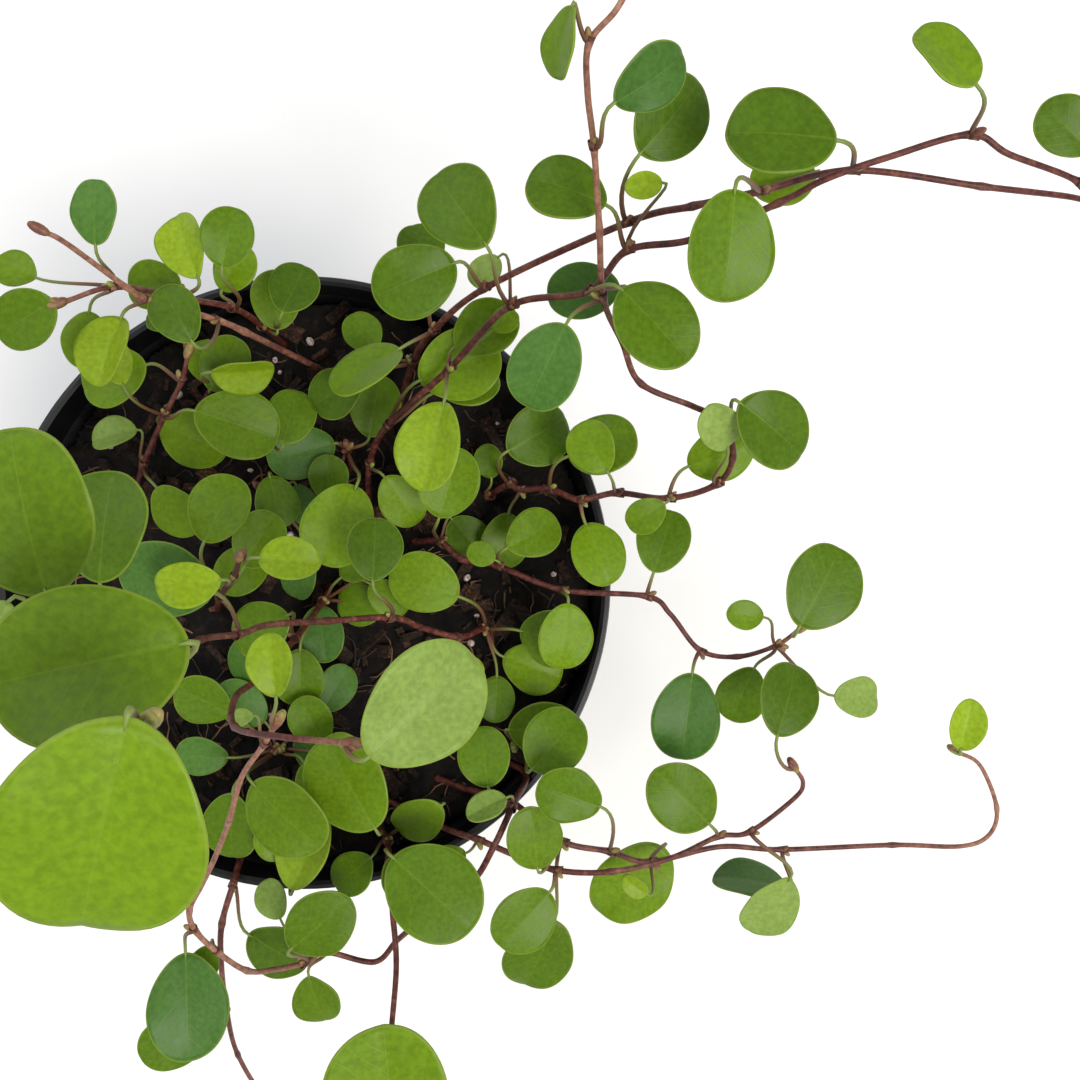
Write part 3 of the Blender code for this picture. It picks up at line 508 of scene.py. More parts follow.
# The short, crowded shoots of the crown, with the tall one that rises over the middle of the pot.
CROWN = {
    "tall_shoot": (
        [(32, -12, -9), (31, -8, -3), (27, -9, 3), (21, -7, 8), (17, -5, 14), (8, -5, 22), (1, -5, 30),
         (-2, -6, 34), (-5, -6, 43), (-6, -7, 60), (-7, -8, 76), (-4, -10, 90), (3, -10, 102), (10, -8, 112),
         (14, -5, 121)],
        [Leaf(1, 27, -2, 7, 159, 12, "fresh"), Leaf(4, 15, 1, 22, 88, 10, "mature"),
         Leaf(1, 37, -8, 2, 348, 12, "fresh"), Leaf(1, 34, -13, -4, 340, 11, "fresh"),
         Leaf(2, 29, -17, 0, 85, 5, "young", 30), Leaf(1, 33, -16, -4, 268, 8, "mature"),
         Leaf(7, -5, 0, 37, 165, 14, "old"), Leaf(11, -5, 2, 92, 98, 16, "fresh"),
         Leaf(9, -14, 2, 55, 85, 14, "mature"), Leaf(12, 12, -1, 105, 191, 16, "fresh"),
         Leaf(14, 14, -4, 125, 253, 17, "fresh"), Leaf(10, -14, 1, 80, 245, 7, "pale")],
    ),
    "curled_shoot": (
        [(-17, -5, -9), (-12, -2, 8), (-4, 2, 30), (0, 5, 42)],
        [Leaf(3, 4, 5, 48, 355, 8, "young"), Leaf(2, -2, 2, 44, 186, 9, "young", -10, 10),
         Leaf(1, -10, 7, 24, 65, 11, "fresh"), Leaf(1, -7, 3, 12, 62, 10, "fresh"),
         Leaf(1, -10, -9, 0, 272, 9, "old")],
    ),
    "front_shoot": (
        [(11, -43, -9), (14, -44, -2), (15, -46, 3), (16, -54, 6), (17, -62, 9), (17, -71, 16), (18, -77, 26),
         (20, -71, 45), (23, -62, 62), (25, -57, 75)],
        [Leaf(2, 17, -43, 14, 320, 17, "mature"), Leaf(1, 14, -39, 12, 120, 17, "fresh"),
         Leaf(1, 12, -46, 2, 222, 9, "mature"), Leaf(1, 24, -37, 4, 215, 10, "fresh"),
         Leaf(9, 26, -56, 80, 95, 15, "fresh")],
    ),
    "back_left_shoot": (
        [(-5, 42, -9), (-6, 43, 3), (-8, 44, 14), (-14, 44, 22), (-21, 44, 30), (-27, 41, 34)],
        [Leaf(4, -21, 48, 38, 85, 9, "old"), Leaf(3, -14, 46, 25, 179, 9, "fresh"),
         Leaf(3, -10, 46, 27, 113, 11, "young"), Leaf(2, -6, 47, 29, 75, 9, "mature"),
         Leaf(5, -28, 41, 35, 210, 10, "mature"), Leaf(4, -34, 46, 27, 156, 7, "fresh"),
         Leaf(4, -28, 42, 22, 262, 9, "fresh"), Leaf(1, 0, 43, 16, 68, 9, "mature"),
         Leaf(1, -3, 42, 8, 90, 10, "fresh"), Leaf(2, -9, 46, 18, 58, 8, "fresh")],
    ),
    "pink_tipped_shoot": (
        [(3, 37, -9), (2, 37, -1), (-6, 40, 16), (-9, 41, 20), (-16, 42, 31), (-18, 43, 34), (-23, 47, 43),
         (-25, 48, 45)],
        [Leaf(4, -21, 40, 28, 255, 11, "young", 0, 15), Leaf(3, -10, 36, 28, 117, 9, "mature")],
    ),
    "left_shoot": (
        [(-33, 11, -9), (-28, 20, -2), (-22, 28, 5), (-18, 33, 9), (-16, 37, 12)],
        [Leaf(3, -24, 36, 8, 198, 12, "fresh"), Leaf(2, -15, 28, 12, 342, 14, "fresh"),
         Leaf(2, -24, 27, 1, 335, 12, "fresh"), Leaf(4, -17, 42, 14, 181, 5, "mature"),
         Leaf(2, -26, 32, 13, 112, 8, "young"), Leaf(1, -28, 26, 1, 192, 8, "pale", 0, 20),
         Leaf(1, -23, 16, 6, 310, 10, "fresh")],
    ),
    "inner_left_shoot": (
        [(-22, 28, -9), (-19, 29, -3), (-14, 34, 4)],
        [Leaf(2, -12, 34, 13, 2, 10, "young", 0, 60), Leaf(2, -14, 32, 8, 62, 10, "fresh"),
         Leaf(1, -16, 34, 0, 100, 8, "fresh")],
    ),
    "middle_shoot": (
        [(-8, 25, -9), (-8, 27, -2)],
        [Leaf(1, -2, 23, 9, 78, 10, "mature")],
    ),
    "low_middle_shoot": (
        [(-7, 12, -9), (-6, 15, -3), (-7, 16, 0)],
        [Leaf(1, -5, 18, 3, 285, 9, "mature"), Leaf(1, -2, 17, -4, 290, 8, "old"),
         Leaf(1, -5, 5, 4, 215, 10, "fresh"), Leaf(1, 0, 5, -4, 250, 9, "old")],
    ),
    "heart_shoot": (
        [(7, 20, -9), (7, 23, -3)],
        [Leaf(1, 5, 24, 1, 196, 12, "old"), Leaf(1, 11, 16, 12, 247, 14, "fresh"),
         Leaf(1, 11, 25, -2, 80, 11, "mature"), Leaf(1, 4, 14, -1, 87, 8, "mature")],
    ),
    "centre_shoot": (
        [(3, -1, -9), (3, -3, -3), (2, -8, 15), (1, -12, 35), (1, -13, 48), (4, -15, 60), (11, -15, 67),
         (19, -15, 71)],
        [Leaf(1, 2, -4, 0, 280, 10, "old"), Leaf(1, 12, 0, 4, 321, 8, "fresh"),
         Leaf(1, 14, -4, 1, 177, 9, "mature"), Leaf(1, 0, -11, 1, 270, 10, "mature"),
         Leaf(1, 7, 1, 3, 39, 7, "mature"), Leaf(7, 22, -16, 74, 45, 16, "pale"),
         Leaf(2, -1, -5, 6, 205, 11, "mature")],
    ),
    "lower_left_shoot": (
        [(-8, -30, -9), (-5, -29, -3)],
        [Leaf(1, -5, -31, 15, 317, 15, "fresh"), Leaf(1, 1, -30, 4, 302, 9, "fresh"),
         Leaf(1, -2, -27, -4, 315, 8, "old"), Leaf(1, -7, -24, -2, 139, 10, "old"),
         Leaf(1, 4, -27, 3, 114, 9, "mature"), Leaf(1, -11, -35, 4, 266, 12, "mature"),
         Leaf(1, -12, -22, 0, 150, 10, "mature"), Leaf(1, -13, -30, -1, 175, 9, "old"),
         Leaf(1, 3, -22, -1, 60, 9, "old")],
    ),
    "rim_shoot": (
        [(-2, -46, -9), (-1, -47, -3)],
        [Leaf(1, 0, -50, 8, 72, 13, "young"), Leaf(1, -4, -47, -3, 129, 8, "old"),
         Leaf(1, -1, -45, 6, 141, 7, "fresh")],
    ),
    "lower_right_shoot": (
        [(36, -27, -9), (36, -28, -3)],
        [Leaf(1, 35, -25, -1, 2, 12, "fresh"), Leaf(1, 39, -30, 9, 47, 12, "mature")],
    ),
}

SHOOTS = {**RUNNERS, **CROWN}


def at_rim(x, y, h):
    """A point of the vine's tables in metres, from the origin under the pot."""
    return Vector((x * MM, y * MM, POT_HEIGHT + h * MM))


# ---------------------------------------------------------------------------------------------------------
# Stems. Wiry and woody, a good millimetre thick at the root and under one at the tip, a little
# swollen and kinked at each joint. One tube for each shoot, on the smooth curve through its joints.

ROOT_RADIUS = 0.57 * MM
SHOOT_TIP_RADIUS = 0.35 * MM
STEM_SIDES = 10
STEM_STEP = 0.6 * MM
JOINT_SWELL = 0.30
SWELL_LENGTH = 0.8 * MM
# How far along each shoot its bark turns from old red-brown to young pink-tan.
# The rest stay brown to the tip.
PINK_FROM = {"pink_tipped_shoot": 0.15, "looping_climber": 0.6, "front_runner": 0.6, "sweeping_runner": 0.4}

# Bark of a young woody shoot: thin, red-brown, finely ridged along the stem, with pale rubbed flecks.
# Attribute youth runs from 0, old bark, to 1, soft pink-tan growth.
bark_of_stem, tree, shader = new_material("wiry_stem_bark", Specular_IOR_Level=0.4)
place = add_node(tree, "TexCoord").outputs["Object"]
youth = add_node(tree, "Attribute", attribute_name="youth").outputs["Fac"]
flecks = add_node(
    tree, "TexNoise", {"Vector": place, "Scale": 1 / (1.1 * MM), "Detail": 5.0, "Roughness": 0.7}
).outputs["Fac"]
broad = add_node(tree, "TexNoise", {"Vector": place, "Scale": 1 / (8 * MM), "Detail": 2.0}).outputs["Fac"]
old_bark = add_node(
    tree, "ValToRGB", {"Fac": flecks},
    ((0.36, "#33120f"), (0.5, "#54231d"), (0.62, "#6b372c"), (0.74, "#8c5a46"))
).outputs["Color"]
new_bark = add_node(
    tree, "ValToRGB", {"Fac": flecks}, ((0.36, "#6f4436"), (0.52, "#916450"), (0.7, "#a98069"))
).outputs["Color"]
wander = add_node(
    tree, "MapRange", {"Value": broad, "From Min": 0.3, "From Max": 0.7, "To Min": -0.25, "To Max": 0.25}
)
blend = add_node(tree, "Math", {0: youth, 1: wander.outputs[0]}, operation="ADD", use_clamp=True).outputs[0]
bark_mix = add_node(tree, "Mix", {"Factor": blend, 6: old_bark, 7: new_bark}, data_type="RGBA")
tree.links.new(bark_mix.outputs[2], shader.inputs["Base Color"])
bark_roughness = add_node(tree, "ValToRGB", {"Fac": flecks}, ((0.3, 0.42), (0.7, 0.62)))
tree.links.new(bark_roughness.outputs["Color"], shader.inputs["Roughness"])
ridges = add_node(tree, "Bump", {"Height": flecks, "Strength": 0.5, "Distance": 0.15 * MM})
tree.links.new(ridges.outputs["Normal"], shader.inputs["Normal"])


def curve_through(joints):
    """Points at most STEM_STEP apart on the Catmull-Rom curve through the joints, with the joint counts."""
    ends = [2 * joints[0] - joints[1], *joints, 2 * joints[-1] - joints[-2]]
    route, counts = [], []
    for number, (before, start, end, after) in enumerate(zip(ends, ends[1:], ends[2:], ends[3:])):
        steps = math.ceil((end - start).length / STEM_STEP)
        for step in range(steps):
            t = step / steps
            square = 2 * before - 5 * start + 4 * end - after
            cube = 3 * start - before - 3 * end + after
            route.append((2 * start + (end - before) * t + square * t**2 + cube * t**3) / 2)
            counts.append(number + t)
    return [*route, joints[-1]], [*counts, len(joints) - 1]


def mesh_piece(name, points, faces, *materials):
    mesh = bpy.data.meshes.new(name)
    mesh.from_pydata(points, [], faces)
    for material in materials:
        mesh.materials.append(material)
    mesh.shade_smooth()
    piece = bpy.data.objects.new(name, mesh)
    bpy.context.scene.collection.objects.link(piece)
    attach(piece, "root")
    return piece


def float_attribute(mesh, name, values):
    mesh.attributes.new(name, "FLOAT", "POINT").data.foreach_set("value", values)


chance = random.Random(3)
for name, (places, leaves) in SHOOTS.items():
    joints = [at_rim(*place) for place in places]
    route, counts = curve_through(joints)
    nodes_of_stem = sorted({leaf.joint for leaf in leaves} | set(range(2, len(joints), 3)) | {0})
    radii = []
    for spot, count in zip(route, counts):
        share = count / (len(joints) - 1)
        nearest = min((spot - joints[number]).length for number in nodes_of_stem)
        swell = 1 + JOINT_SWELL * math.exp(-((nearest / SWELL_LENGTH) ** 2))
        radii.append(
            (ROOT_RADIUS + share * (SHOOT_TIP_RADIUS - ROOT_RADIUS)) * swell * chance.uniform(0.98, 1.02)
        )
    points, faces = tube(route, radii, STEM_SIDES)
    stem = mesh_piece(name + "_bark", points, faces, bark_of_stem)
    pink_from = PINK_FROM.get(name, 0.9)
    youths = [min(1, max(0, (count / (len(joints) - 1) - pink_from) / 0.2 + 0.15)) for count in counts]
    float_attribute(stem.data, "youth", [value for value in youths for _ in range(STEM_SIDES)])
    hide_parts(name + "_stem")

# ---------------------------------------------------------------------------------------------------------
# Leaves. Each is a thin, nearly round blade with a fine pale margin and a short channelled stalk. The blade
# is modelled once, flat and round, with a top and an underside, then bent to each leaf's own shape.

BLADE_STEPS = 16
BLADE_HALF_THICKNESS = 0.13 * MM
BLADE_ARCH = 0.10
SWAY = 14
BLADE_FOLDS = {"young": 0.45, "fresh": 0.12, "mature": 0.10, "old": 0.08, "pale": 0.30}
BLADE_WIDTHS = {"young": 0.70, "fresh": 0.82, "mature": 0.84, "old": 0.76, "pale": 0.78}
STALK_RADIUS = 0.30 * MM
STALK_SIDES = 8
STALK_STEPS = 9
GROOVE_DEPTH = 0.02
GROOVE_WIDTH = 0.09
FOLD_CURVE = 1.25
TIP_ARCH = -0.4
CAD_HALF_THICKNESS = 0.225 * MM
OWN_NODE_BLADE = 11
LIFT_STEP = 0.5 * MM
MOST_LIFT_STEPS = 36
SAME_POINT = 0.08 * MM

# Leaf skin, thin and satin: a mottled green with faint sunken veins, a pale midrib and a pale hard margin.
# The blade's own UV map is the flat round blade, and attribute tone is the leaf's own lightness.
UPPER_GREENS = {
    "young": ("#6a8410", "#88a31c"),
    "fresh": ("#4a6603", "#668509"),
    "mature": ("#3d5903", "#547307"),
    "old": ("#3a5f20", "#4d742d"),
    "pale": ("#6a8436", "#869e4d"),
}


def leaf_skin(name, dark, light, vein, margin, roughness):
    material, tree, shader = new_material(name, Specular_IOR_Level=0.2, Subsurface_Weight=0.08)
    shader.inputs["Subsurface Radius"].default_value = (0.4 * MM, 0.8 * MM, 0.2 * MM)
    shader.inputs["Subsurface Scale"].default_value = 1
    place = add_node(tree, "TexCoord").outputs["Object"]
    flat = add_node(tree, "UVMap", uv_map="blade").outputs["UV"]
    centred = add_node(tree, "VectorMath", {0: flat, 1: (0.5, 0.5, 0)}, operation="SUBTRACT").outputs[0]
    out = add_node(tree, "VectorMath", {0: centred}, operation="LENGTH").outputs["Value"]
    parts = add_node(tree, "SeparateXYZ", {0: centred})
    across = add_node(tree, "Math", {0: parts.outputs["X"]}, operation="ABSOLUTE").outputs[0]
    tone = add_node(tree, "Attribute", attribute_name="tone").outputs["Fac"]
    mottle = add_node(
        tree, "TexNoise", {"Vector": place, "Scale": 1 / (4 * MM), "Detail": 4.0}
    ).outputs["Fac"]
    cells = add_node(
        tree, "TexNoise", {"Vector": place, "Scale": 1 / (0.7 * MM), "Detail": 3.0}
    ).outputs["Fac"]
    # Side veins leave the midrib forwards, six or so to a side, and wander a little.
    lean = add_node(
        tree, "Math", {0: across, 1: -0.8, 2: parts.outputs["Y"]}, operation="MULTIPLY_ADD"
    ).outputs[0]
    bent = add_node(tree, "Math", {0: mottle, 1: 0.12, 2: lean}, operation="MULTIPLY_ADD").outputs[0]
    waves = add_node(tree, "Math", {0: bent, 1: 42.0}, operation="MULTIPLY").outputs[0]
    sine = add_node(tree, "Math", {0: waves}, operation="SINE").outputs[0]
    side_veins = add_node(tree, "MapRange", {"Value": sine, "From Min": 0.86, "From Max": 1.0}).outputs[0]
    thin = add_node(tree, "MapRange", {"Value": parts.outputs["Y"], "From Min": -0.5, "From Max": 0.45,
                                       "To Min": 0.016, "To Max": 0.003}).outputs[0]
    inside = add_node(tree, "Math", {0: across, 1: thin}, operation="DIVIDE").outputs[0]
    midrib = add_node(tree, "MapRange", {"Value": inside, "From Min": 1.3, "From Max": 0.6}).outputs[0]
    edge = add_node(tree, "MapRange", {"Value": out, "From Min": 0.478, "From Max": 0.490}).outputs[0]
    patchy = add_node(tree, "Math", {0: mottle, 1: 0.5, 2: tone}, operation="MULTIPLY_ADD").outputs[0]
    green = add_node(tree, "ValToRGB", {"Fac": patchy}, ((0.3, dark), (1.2, light))).outputs["Color"]
    speckle = add_node(tree, "MapRange", {"Value": cells, "From Min": 0.35, "From Max": 0.65,
                                          "To Min": 0.86, "To Max": 1.1}).outputs[0]
    skin = add_node(tree, "VectorMath", {0: green, "Scale": speckle}, operation="SCALE").outputs[0]
    faint = add_node(tree, "Math", {0: side_veins, 1: 0.05}, operation="MULTIPLY").outputs[0]
    veined = add_node(tree, "Mix", {"Factor": faint, 6: skin, 7: linear(vein)}, data_type="RGBA").outputs[2]
    strong = add_node(tree, "Math", {0: midrib, 1: 0.16}, operation="MULTIPLY").outputs[0]
    ribbed = add_node(
        tree, "Mix", {"Factor": strong, 6: veined, 7: linear(vein)}, data_type="RGBA"
    ).outputs[2]
    hard = add_node(tree, "Math", {0: edge, 1: 0.5}, operation="MULTIPLY").outputs[0]
    edged = add_node(tree, "Mix", {"Factor": hard, 6: ribbed, 7: linear(margin)}, data_type="RGBA").outputs[2]
    tree.links.new(edged, shader.inputs["Base Color"])
    skin_roughness = add_node(
        tree, "ValToRGB", {"Fac": cells}, ((0.3, roughness - 0.06), (0.7, roughness + 0.08))
    )
    tree.links.new(skin_roughness.outputs["Color"], shader.inputs["Roughness"])
    sunk = add_node(tree, "Math", {0: side_veins, 1: -0.5, 2: midrib}, operation="MULTIPLY_ADD").outputs[0]
    veins = add_node(tree, "Bump", {"Height": sunk, "Strength": 0.18, "Distance": 0.10 * MM}, invert=True)
    skin_grain = add_node(tree, "Bump", {"Height": cells, "Strength": 0.25, "Distance": 0.08 * MM,
                                         "Normal": veins.outputs["Normal"]})
    tree.links.new(skin_grain.outputs["Normal"], shader.inputs["Normal"])
    return material


upper_skins = {
    age: leaf_skin(f"{age}_leaf_upper_skin", dark, light, "#7f9a2c", "#86993a", 0.42)
    for age, (dark, light) in UPPER_GREENS.items()
}
lower_skin = leaf_skin("leaf_lower_skin", "#506d34", "#657f45", "#7b9052", "#7b9054", 0.62)

# Stalk skin: soft green at the blade, flushed red towards the stem. Attribute youth is 1 at the blade.
stalk_skin, tree, shader = new_material("leaf_stalk_skin", Roughness=0.5, Specular_IOR_Level=0.4)
youth = add_node(tree, "Attribute", attribute_name="youth").outputs["Fac"]
stalk_colour = add_node(
    tree, "ValToRGB", {"Fac": youth},
    ((0.0, "#4d2a1e"), (0.35, "#6e4f33"), (0.7, "#6f7a3a"), (1.0, "#71883a"))
).outputs["Color"]
tree.links.new(stalk_colour, shader.inputs["Base Color"])

bpy.ops.object.select_all(action="DESELECT")
bpy.ops.mesh.primitive_grid_add(
    x_subdivisions=BLADE_STEPS, y_subdivisions=BLADE_STEPS, size=2, location=(0, 0, 0)
)
blade = bpy.context.object
blade.name = blade.data.name = "blade_flat"
bpy.ops.object.mode_set(mode="EDIT")
bpy.ops.mesh.select_all(action="SELECT")
bpy.ops.transform.translate(value=(0, 0, -1))
bpy.ops.mesh.extrude_region_move(TRANSFORM_OT_translate={"value": (0, 0, 2)})
bpy.ops.mesh.select_all(action="SELECT")
bpy.ops.mesh.normals_make_consistent(inside=False)
bpy.ops.object.mode_set(mode="OBJECT")
for vert in blade.data.vertices:
    # The square sheet is drawn in to a round one.
    a, b, _ = vert.co
    vert.co.x = a * math.sqrt(1 - b * b / 2)
    vert.co.y = b * math.sqrt(1 - a * a / 2)
flat_points = [vert.co.copy() for vert in blade.data.vertices]
blade_faces = [list(face.vertices) for face in blade.data.polygons]
faces_down = [face.normal.z < -0.5 for face in blade.data.polygons]
bpy.data.objects.remove(blade)


def blade_axes(leaf):
    """Unit vectors along the blade, to its left and up from its face."""
    # No two leaves lie quite alike: each sways a little up or down and to one side, by where it grows.
    pitch = math.radians(leaf.pitch + SWAY * math.sin(1.9 * leaf.x + 2.3 * leaf.y))
    roll = math.radians(leaf.roll + SWAY * math.sin(2.7 * leaf.x - 1.1 * leaf.y))
    heading = math.radians(leaf.heading)
    along = Vector(
        (math.cos(heading) * math.cos(pitch), math.sin(heading) * math.cos(pitch), math.sin(pitch))
    )
    level = Vector((-math.sin(heading), math.cos(heading), 0))
    up = along.cross(level)
    return along, level * math.cos(roll) + up * math.sin(roll), up * math.cos(roll) - level * math.sin(roll)


def bent_blade(leaf, foot):
    """The flat blade's points, arched, folded and rippled from the blade's foot."""
    along, left, up = blade_axes(leaf)
    length = leaf.length * MM
    half = BLADE_WIDTHS[leaf.age] * length / 2 * chance.uniform(0.96, 1.04)
    skew = chance.uniform(-0.06, 0.06)
    ripples = [(turns, chance.uniform(0, math.tau), chance.uniform(0.2, 1) * 0.016) for turns in (2, 3, 5)]
    blunt = chance.uniform(0.0, 0.10)
    taper = chance.uniform(0.03, 0.17)
    widest = chance.uniform(-0.07, 0.10)
    twist = chance.uniform(-0.14, 0.14)
    droop = chance.uniform(-0.02, 0.10)
    points = []
    for flat in flat_points:
        out = flat.xy.length
        angle = math.atan2(flat.y, flat.x)
        share = (flat.y + 1) / 2
        # The widest place lies a little nearer the stalk than the tip, and the tip is blunt.
        reach = share**0.94 - blunt * 0.25 * max(0, flat.y) ** 6 * (1 - abs(flat.x))
        shape = (1 - taper * max(0, -flat.y) ** 1.5) * (1 + widest * flat.y * (1 - flat.y**2))
        wide = flat.x * half * shape * (1 + skew * (1 if flat.x > 0 else -1))
        ripple = sum(size * math.sin(turns * angle + phase) for turns, phase, size in ripples) * out**3
        groove = GROOVE_DEPTH * half * math.exp(-((flat.x / GROOVE_WIDTH) ** 2))
        fold = BLADE_FOLDS[leaf.age] * half * abs(flat.x) ** FOLD_CURVE - groove
        rise = BLADE_ARCH * length * share * (1 - 1.4 * share) + fold + ripple * length
        rise += twist * wide * share - droop * length * share**3 + flat.z * BLADE_HALF_THICKNESS
        points.append(foot + along * reach * length - left * wide + up * rise)
    return points


def stalk_route(leaf, joint, stem_way, foot):
    """The stalk leaves the stem sideways and runs into the blade along its midrib."""
    along, _, up = blade_axes(leaf)
    span = (foot - joint).length
    sideways = foot - joint - (foot - joint).project(stem_way)
    first = joint + sideways.normalized() * 0.25 * span + (foot - joint) * 0.15
    second = foot - along * min(0.35 * span, 3 * MM)
    route = []
    for step in range(STALK_STEPS):
        t = step / (STALK_STEPS - 1)
        route.append(
            joint * (1 - t) ** 3 + first * 3 * (1 - t) ** 2 * t + second * 3 * (1 - t) * t**2 + foot * t**3
        )
    return [*route, foot + along * 0.06 * leaf.length * MM + up * 0.002 * leaf.length * MM]


def settled_lift(leaf, cad_points):
    """How far up or down the solid model has moved this leaf to keep it clear of its neighbours."""
    along, left, up = blade_axes(leaf)
    length = leaf.length * MM
    drop = up * (BLADE_ARCH * TIP_ARCH * length + CAD_HALF_THICKNESS)
    tip = at_rim(leaf.x, leaf.y, leaf.h) + along * length + drop
    for step in range(MOST_LIFT_STEPS):
        lift = Vector((0, 0, (step + 1) // 2 * LIFT_STEP * (1 if step % 2 else -1)))
        if cad_points.find(tip + lift)[2] < SAME_POINT:
            return lift
    # The solids of lower_left_shoot and rim_shoot lack six of their leaves, which stay at their table height.
    print("no lift found for", leaf)
    return Vector()


chance = random.Random(11)
joint_places = []
for name, (places, leaves) in SHOOTS.items():
    joints = [at_rim(*place) for place in places]
    last = len(joints) - 1
    for number, leaf in enumerate(leaves, 1):
        own_node = name in RUNNERS and leaf.length >= OWN_NODE_BLADE
        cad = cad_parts[f"{name}_leaf_{number:02d}" if own_node else name + "_stem"].data.vertices
        cad_points = KDTree(len(cad))
        for at, vert in enumerate(cad):
            cad_points.insert(vert.co, at)
        cad_points.balance()
        foot = at_rim(leaf.x, leaf.y, leaf.h) + settled_lift(leaf, cad_points)
        way = (joints[min(leaf.joint + 1, last)] - joints[max(leaf.joint - 1, 0)]).normalized()
        route = stalk_route(leaf, joints[leaf.joint], way, foot)
        size = min(1, 0.55 + leaf.length / 25)
        radii = [STALK_RADIUS * size * (1.25 - 0.45 * at / STALK_STEPS) for at in range(len(route))]
        radii[-1] *= 0.4
        stalk_points, stalk_faces = tube(route, radii, STALK_SIDES)
        points = bent_blade(leaf, foot)
        count = len(points)
        faces = blade_faces + [[corner + count for corner in face] for face in stalk_faces]
        piece = mesh_piece(
            f"{name}_leaf_skin_{number:02d}", points + stalk_points, faces,
            upper_skins[leaf.age], lower_skin, stalk_skin,
        )
        slots = [1 if down else 0 for down in faces_down] + [2] * len(stalk_faces)
        piece.data.polygons.foreach_set("material_index", slots)
        flat_map = piece.data.uv_layers.new(name="blade")
        for loop, corner in zip(piece.data.loops, flat_map.data):
            if loop.vertex_index < count:
                flat = flat_points[loop.vertex_index]
                corner.uv = ((flat.x + 1) / 2, (flat.y + 1) / 2)
        float_attribute(piece.data, "tone", [chance.uniform(0.15, 0.85)] * len(piece.data.vertices))
        rings = [at / STALK_STEPS for at in range(len(route)) for _ in range(STALK_SIDES)]
        float_attribute(piece.data, "youth", [0.0] * count + rings)
        if own_node:
            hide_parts(f"{name}_leaf_{number:02d}")
        joint_places.append((joints[leaf.joint], way, (route[2] - route[0]).normalized(), leaf.joint / last))

# ---------------------------------------------------------------------------------------------------------
# Sheaths and buds. At each leaf a short papery sheath wraps the joint, with a small bud in the leaf's angle.
# Each shoot ends in a folded growing tip.

bpy.ops.object.select_all(action="DESELECT")
bpy.ops.mesh.primitive_cone_add(
    vertices=9, radius1=0.70 * MM, radius2=0.92 * MM, depth=1.4 * MM, end_fill_type="NOTHING", location=(0, 0, 0)
)
sheath = bpy.context.object
bpy.ops.object.mode_set(mode="EDIT")
bpy.ops.mesh.subdivide(number_cuts=1)
bpy.ops.transform.vertex_random(offset=0.10 * MM, seed=5)
bpy.ops.object.mode_set(mode="OBJECT")
apply_modifier(sheath, "SOLIDIFY", thickness=0.08 * MM, offset=0)
bpy.ops.object.shade_smooth()

# Dry sheath: paper-thin, brown, torn at its mouth.
paper, tree, shader = new_material("papery_sheath", Roughness=0.7, Specular_IOR_Level=0.3)
place = add_node(tree, "TexCoord").outputs["Object"]
torn = add_node(tree, "TexNoise", {"Vector": place, "Scale": 1 / (0.8 * MM), "Detail": 4.0}).outputs["Fac"]
paper_colour = add_node(
    tree, "ValToRGB", {"Fac": torn}, ((0.36, "#3b1f1b"), (0.54, "#62402f"), (0.7, "#94715a"))
)
tree.links.new(paper_colour.outputs["Color"], shader.inputs["Base Color"])
sheaths = []
for spot, way, _, share in joint_places:
    turn = way.to_track_quat("Z", "Y").to_matrix().to_4x4()
    scale = Matrix.Scale((1 - 0.35 * share) * chance.uniform(0.85, 1.1), 4)
    sheaths.append(Matrix.Translation(spot + way * 0.5 * MM) @ turn @ scale)
scattered("joint_sheaths", sheath, sheaths, paper)

bpy.ops.object.select_all(action="DESELECT")
bpy.ops.mesh.primitive_uv_sphere_add(segments=10, ring_count=7, radius=0.5 * MM, location=(0, 0, 0))
bud = bpy.context.object
bpy.ops.object.mode_set(mode="EDIT")
bpy.ops.mesh.select_all(action="SELECT")
bpy.ops.transform.resize(value=(1, 0.8, 2.1))
bpy.ops.object.mode_set(mode="OBJECT")
bpy.ops.object.shade_smooth()

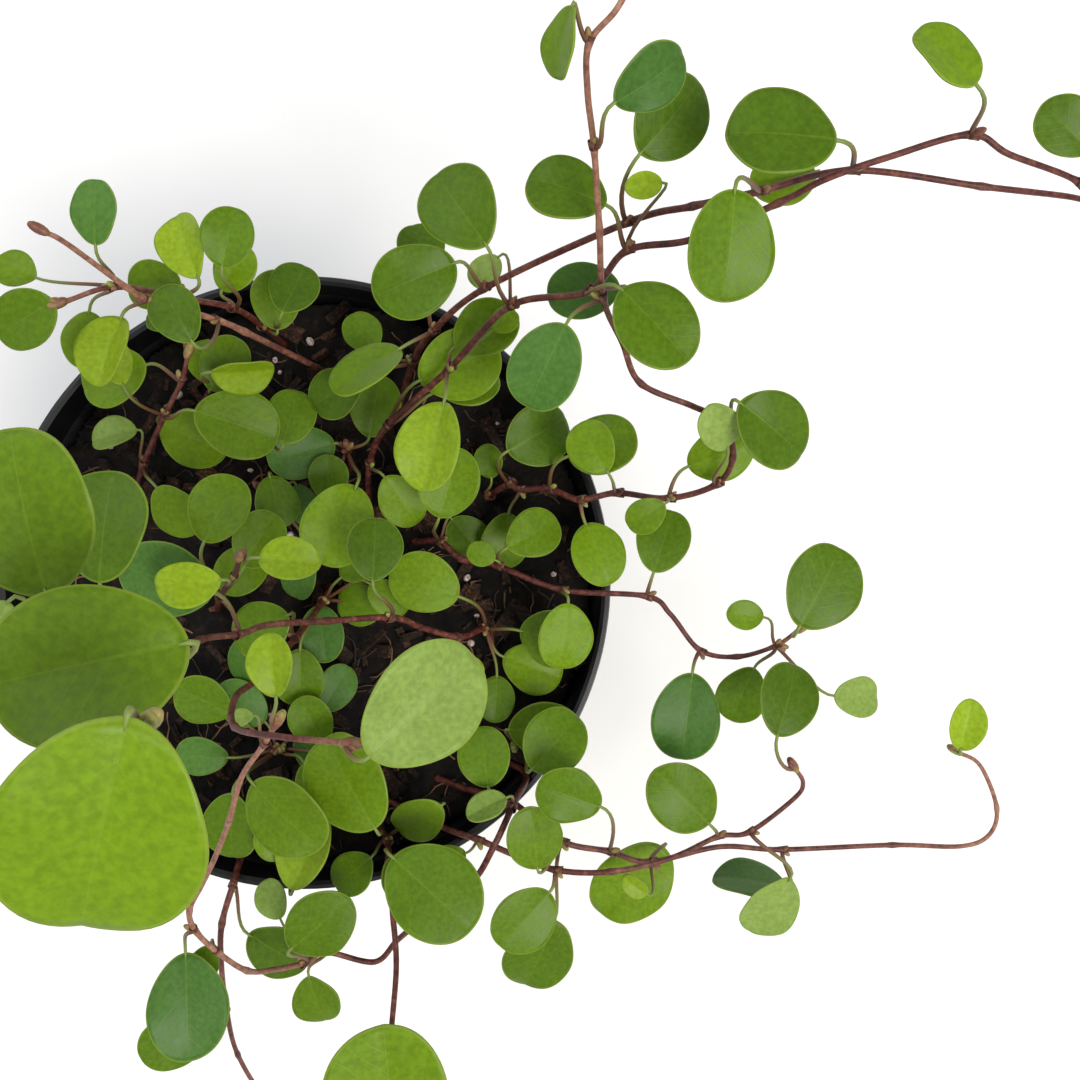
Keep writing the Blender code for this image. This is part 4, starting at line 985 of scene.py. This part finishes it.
# Bud scales: soft, flushed red over green.
bud_scales, tree, shader = new_material("bud_scales", Roughness=0.5)
place = add_node(tree, "TexCoord").outputs["Object"]
flush = add_node(tree, "TexNoise", {"Vector": place, "Scale": 1 / (5 * MM), "Detail": 3.0}).outputs["Fac"]
scale_colour = add_node(
    tree, "ValToRGB", {"Fac": flush}, ((0.38, "#6a3c2e"), (0.52, "#8d7643"), (0.64, "#83963f"))
)
tree.links.new(scale_colour.outputs["Color"], shader.inputs["Base Color"])
buds = []
for spot, way, sideways, share in joint_places:
    lean = (way + sideways * 0.9).normalized()
    turn = lean.to_track_quat("Z", "Y").to_matrix().to_4x4()
    scale = Matrix.Scale(chance.uniform(0.7, 1.15), 4)
    buds.append(Matrix.Translation(spot + lean * 1.0 * MM) @ turn @ scale)
for places, _ in SHOOTS.values():
    tip, before = at_rim(*places[-1]), at_rim(*places[-2])
    way = (tip - before).normalized()
    turn = way.to_track_quat("Z", "Y").to_matrix().to_4x4()
    for lean in (0, 0.5):
        spread = Matrix.Rotation(lean, 4, "X")
        buds.append(Matrix.Translation(tip + way * 0.9 * MM) @ turn @ spread @ Matrix.Scale(1.5, 4))
scattered("buds_and_growing_tips", bud, buds, bud_scales)

# ---------------------------------------------------------------------------------------------------------
# The stage: a plain near-white sweep, one broad soft light high to the right and the pale room around it.
# The camera hangs straight over the pot and a little to the right of it, so that the runners are in view.

FLOOR_SIZE = 6.0
bpy.ops.object.select_all(action="DESELECT")
bpy.ops.mesh.primitive_plane_add(size=FLOOR_SIZE, location=(0, 0, -0.05 * MM))
floor = bpy.context.object
floor.name = "floor"
white, tree, shader = new_material("matt_white_paper", Roughness=0.9, Specular_IOR_Level=0.1)
shader.inputs["Base Color"].default_value = linear("#fafafa")
floor.data.materials.append(white)


def soft_light(name, place, size, watts, colour):
    data = bpy.data.lights.new(name, "AREA")
    data.shape = "DISK"
    data.size = size
    data.energy = watts
    data.color = linear(colour)[:3]
    light = bpy.data.objects.new(name, data)
    light.location = place
    light.rotation_euler = (Vector((0.03, 0, 0.08)) - Vector(place)).to_track_quat("-Z", "Y").to_euler()
    bpy.context.scene.collection.objects.link(light)


soft_light("key", (0.35, -0.25, 0.85), 0.35, 5.5, "#fffaf2")
soft_light("fill", (-0.5, 0.45, 0.9), 0.8, 3, "#f2f7ff")

world = bpy.data.worlds.new("pale_room")
world.use_nodes = True
world.node_tree.nodes["Background"].inputs["Color"].default_value = linear("#ffffff")
world.node_tree.nodes["Background"].inputs["Strength"].default_value = 0.62
bpy.context.scene.world = world
bpy.context.scene.view_settings.view_transform = "Standard"

SENSOR = 36
camera_data = bpy.data.cameras.new("camera")
camera_data.sensor_width = SENSOR
camera_data.lens = 39.1
camera_data.clip_start = 1 * MM
camera = bpy.data.objects.new("camera", camera_data)
camera.location = (40.4 * MM, 7.3 * MM, 290 * MM)
bpy.context.scene.collection.objects.link(camera)
bpy.context.scene.camera = camera
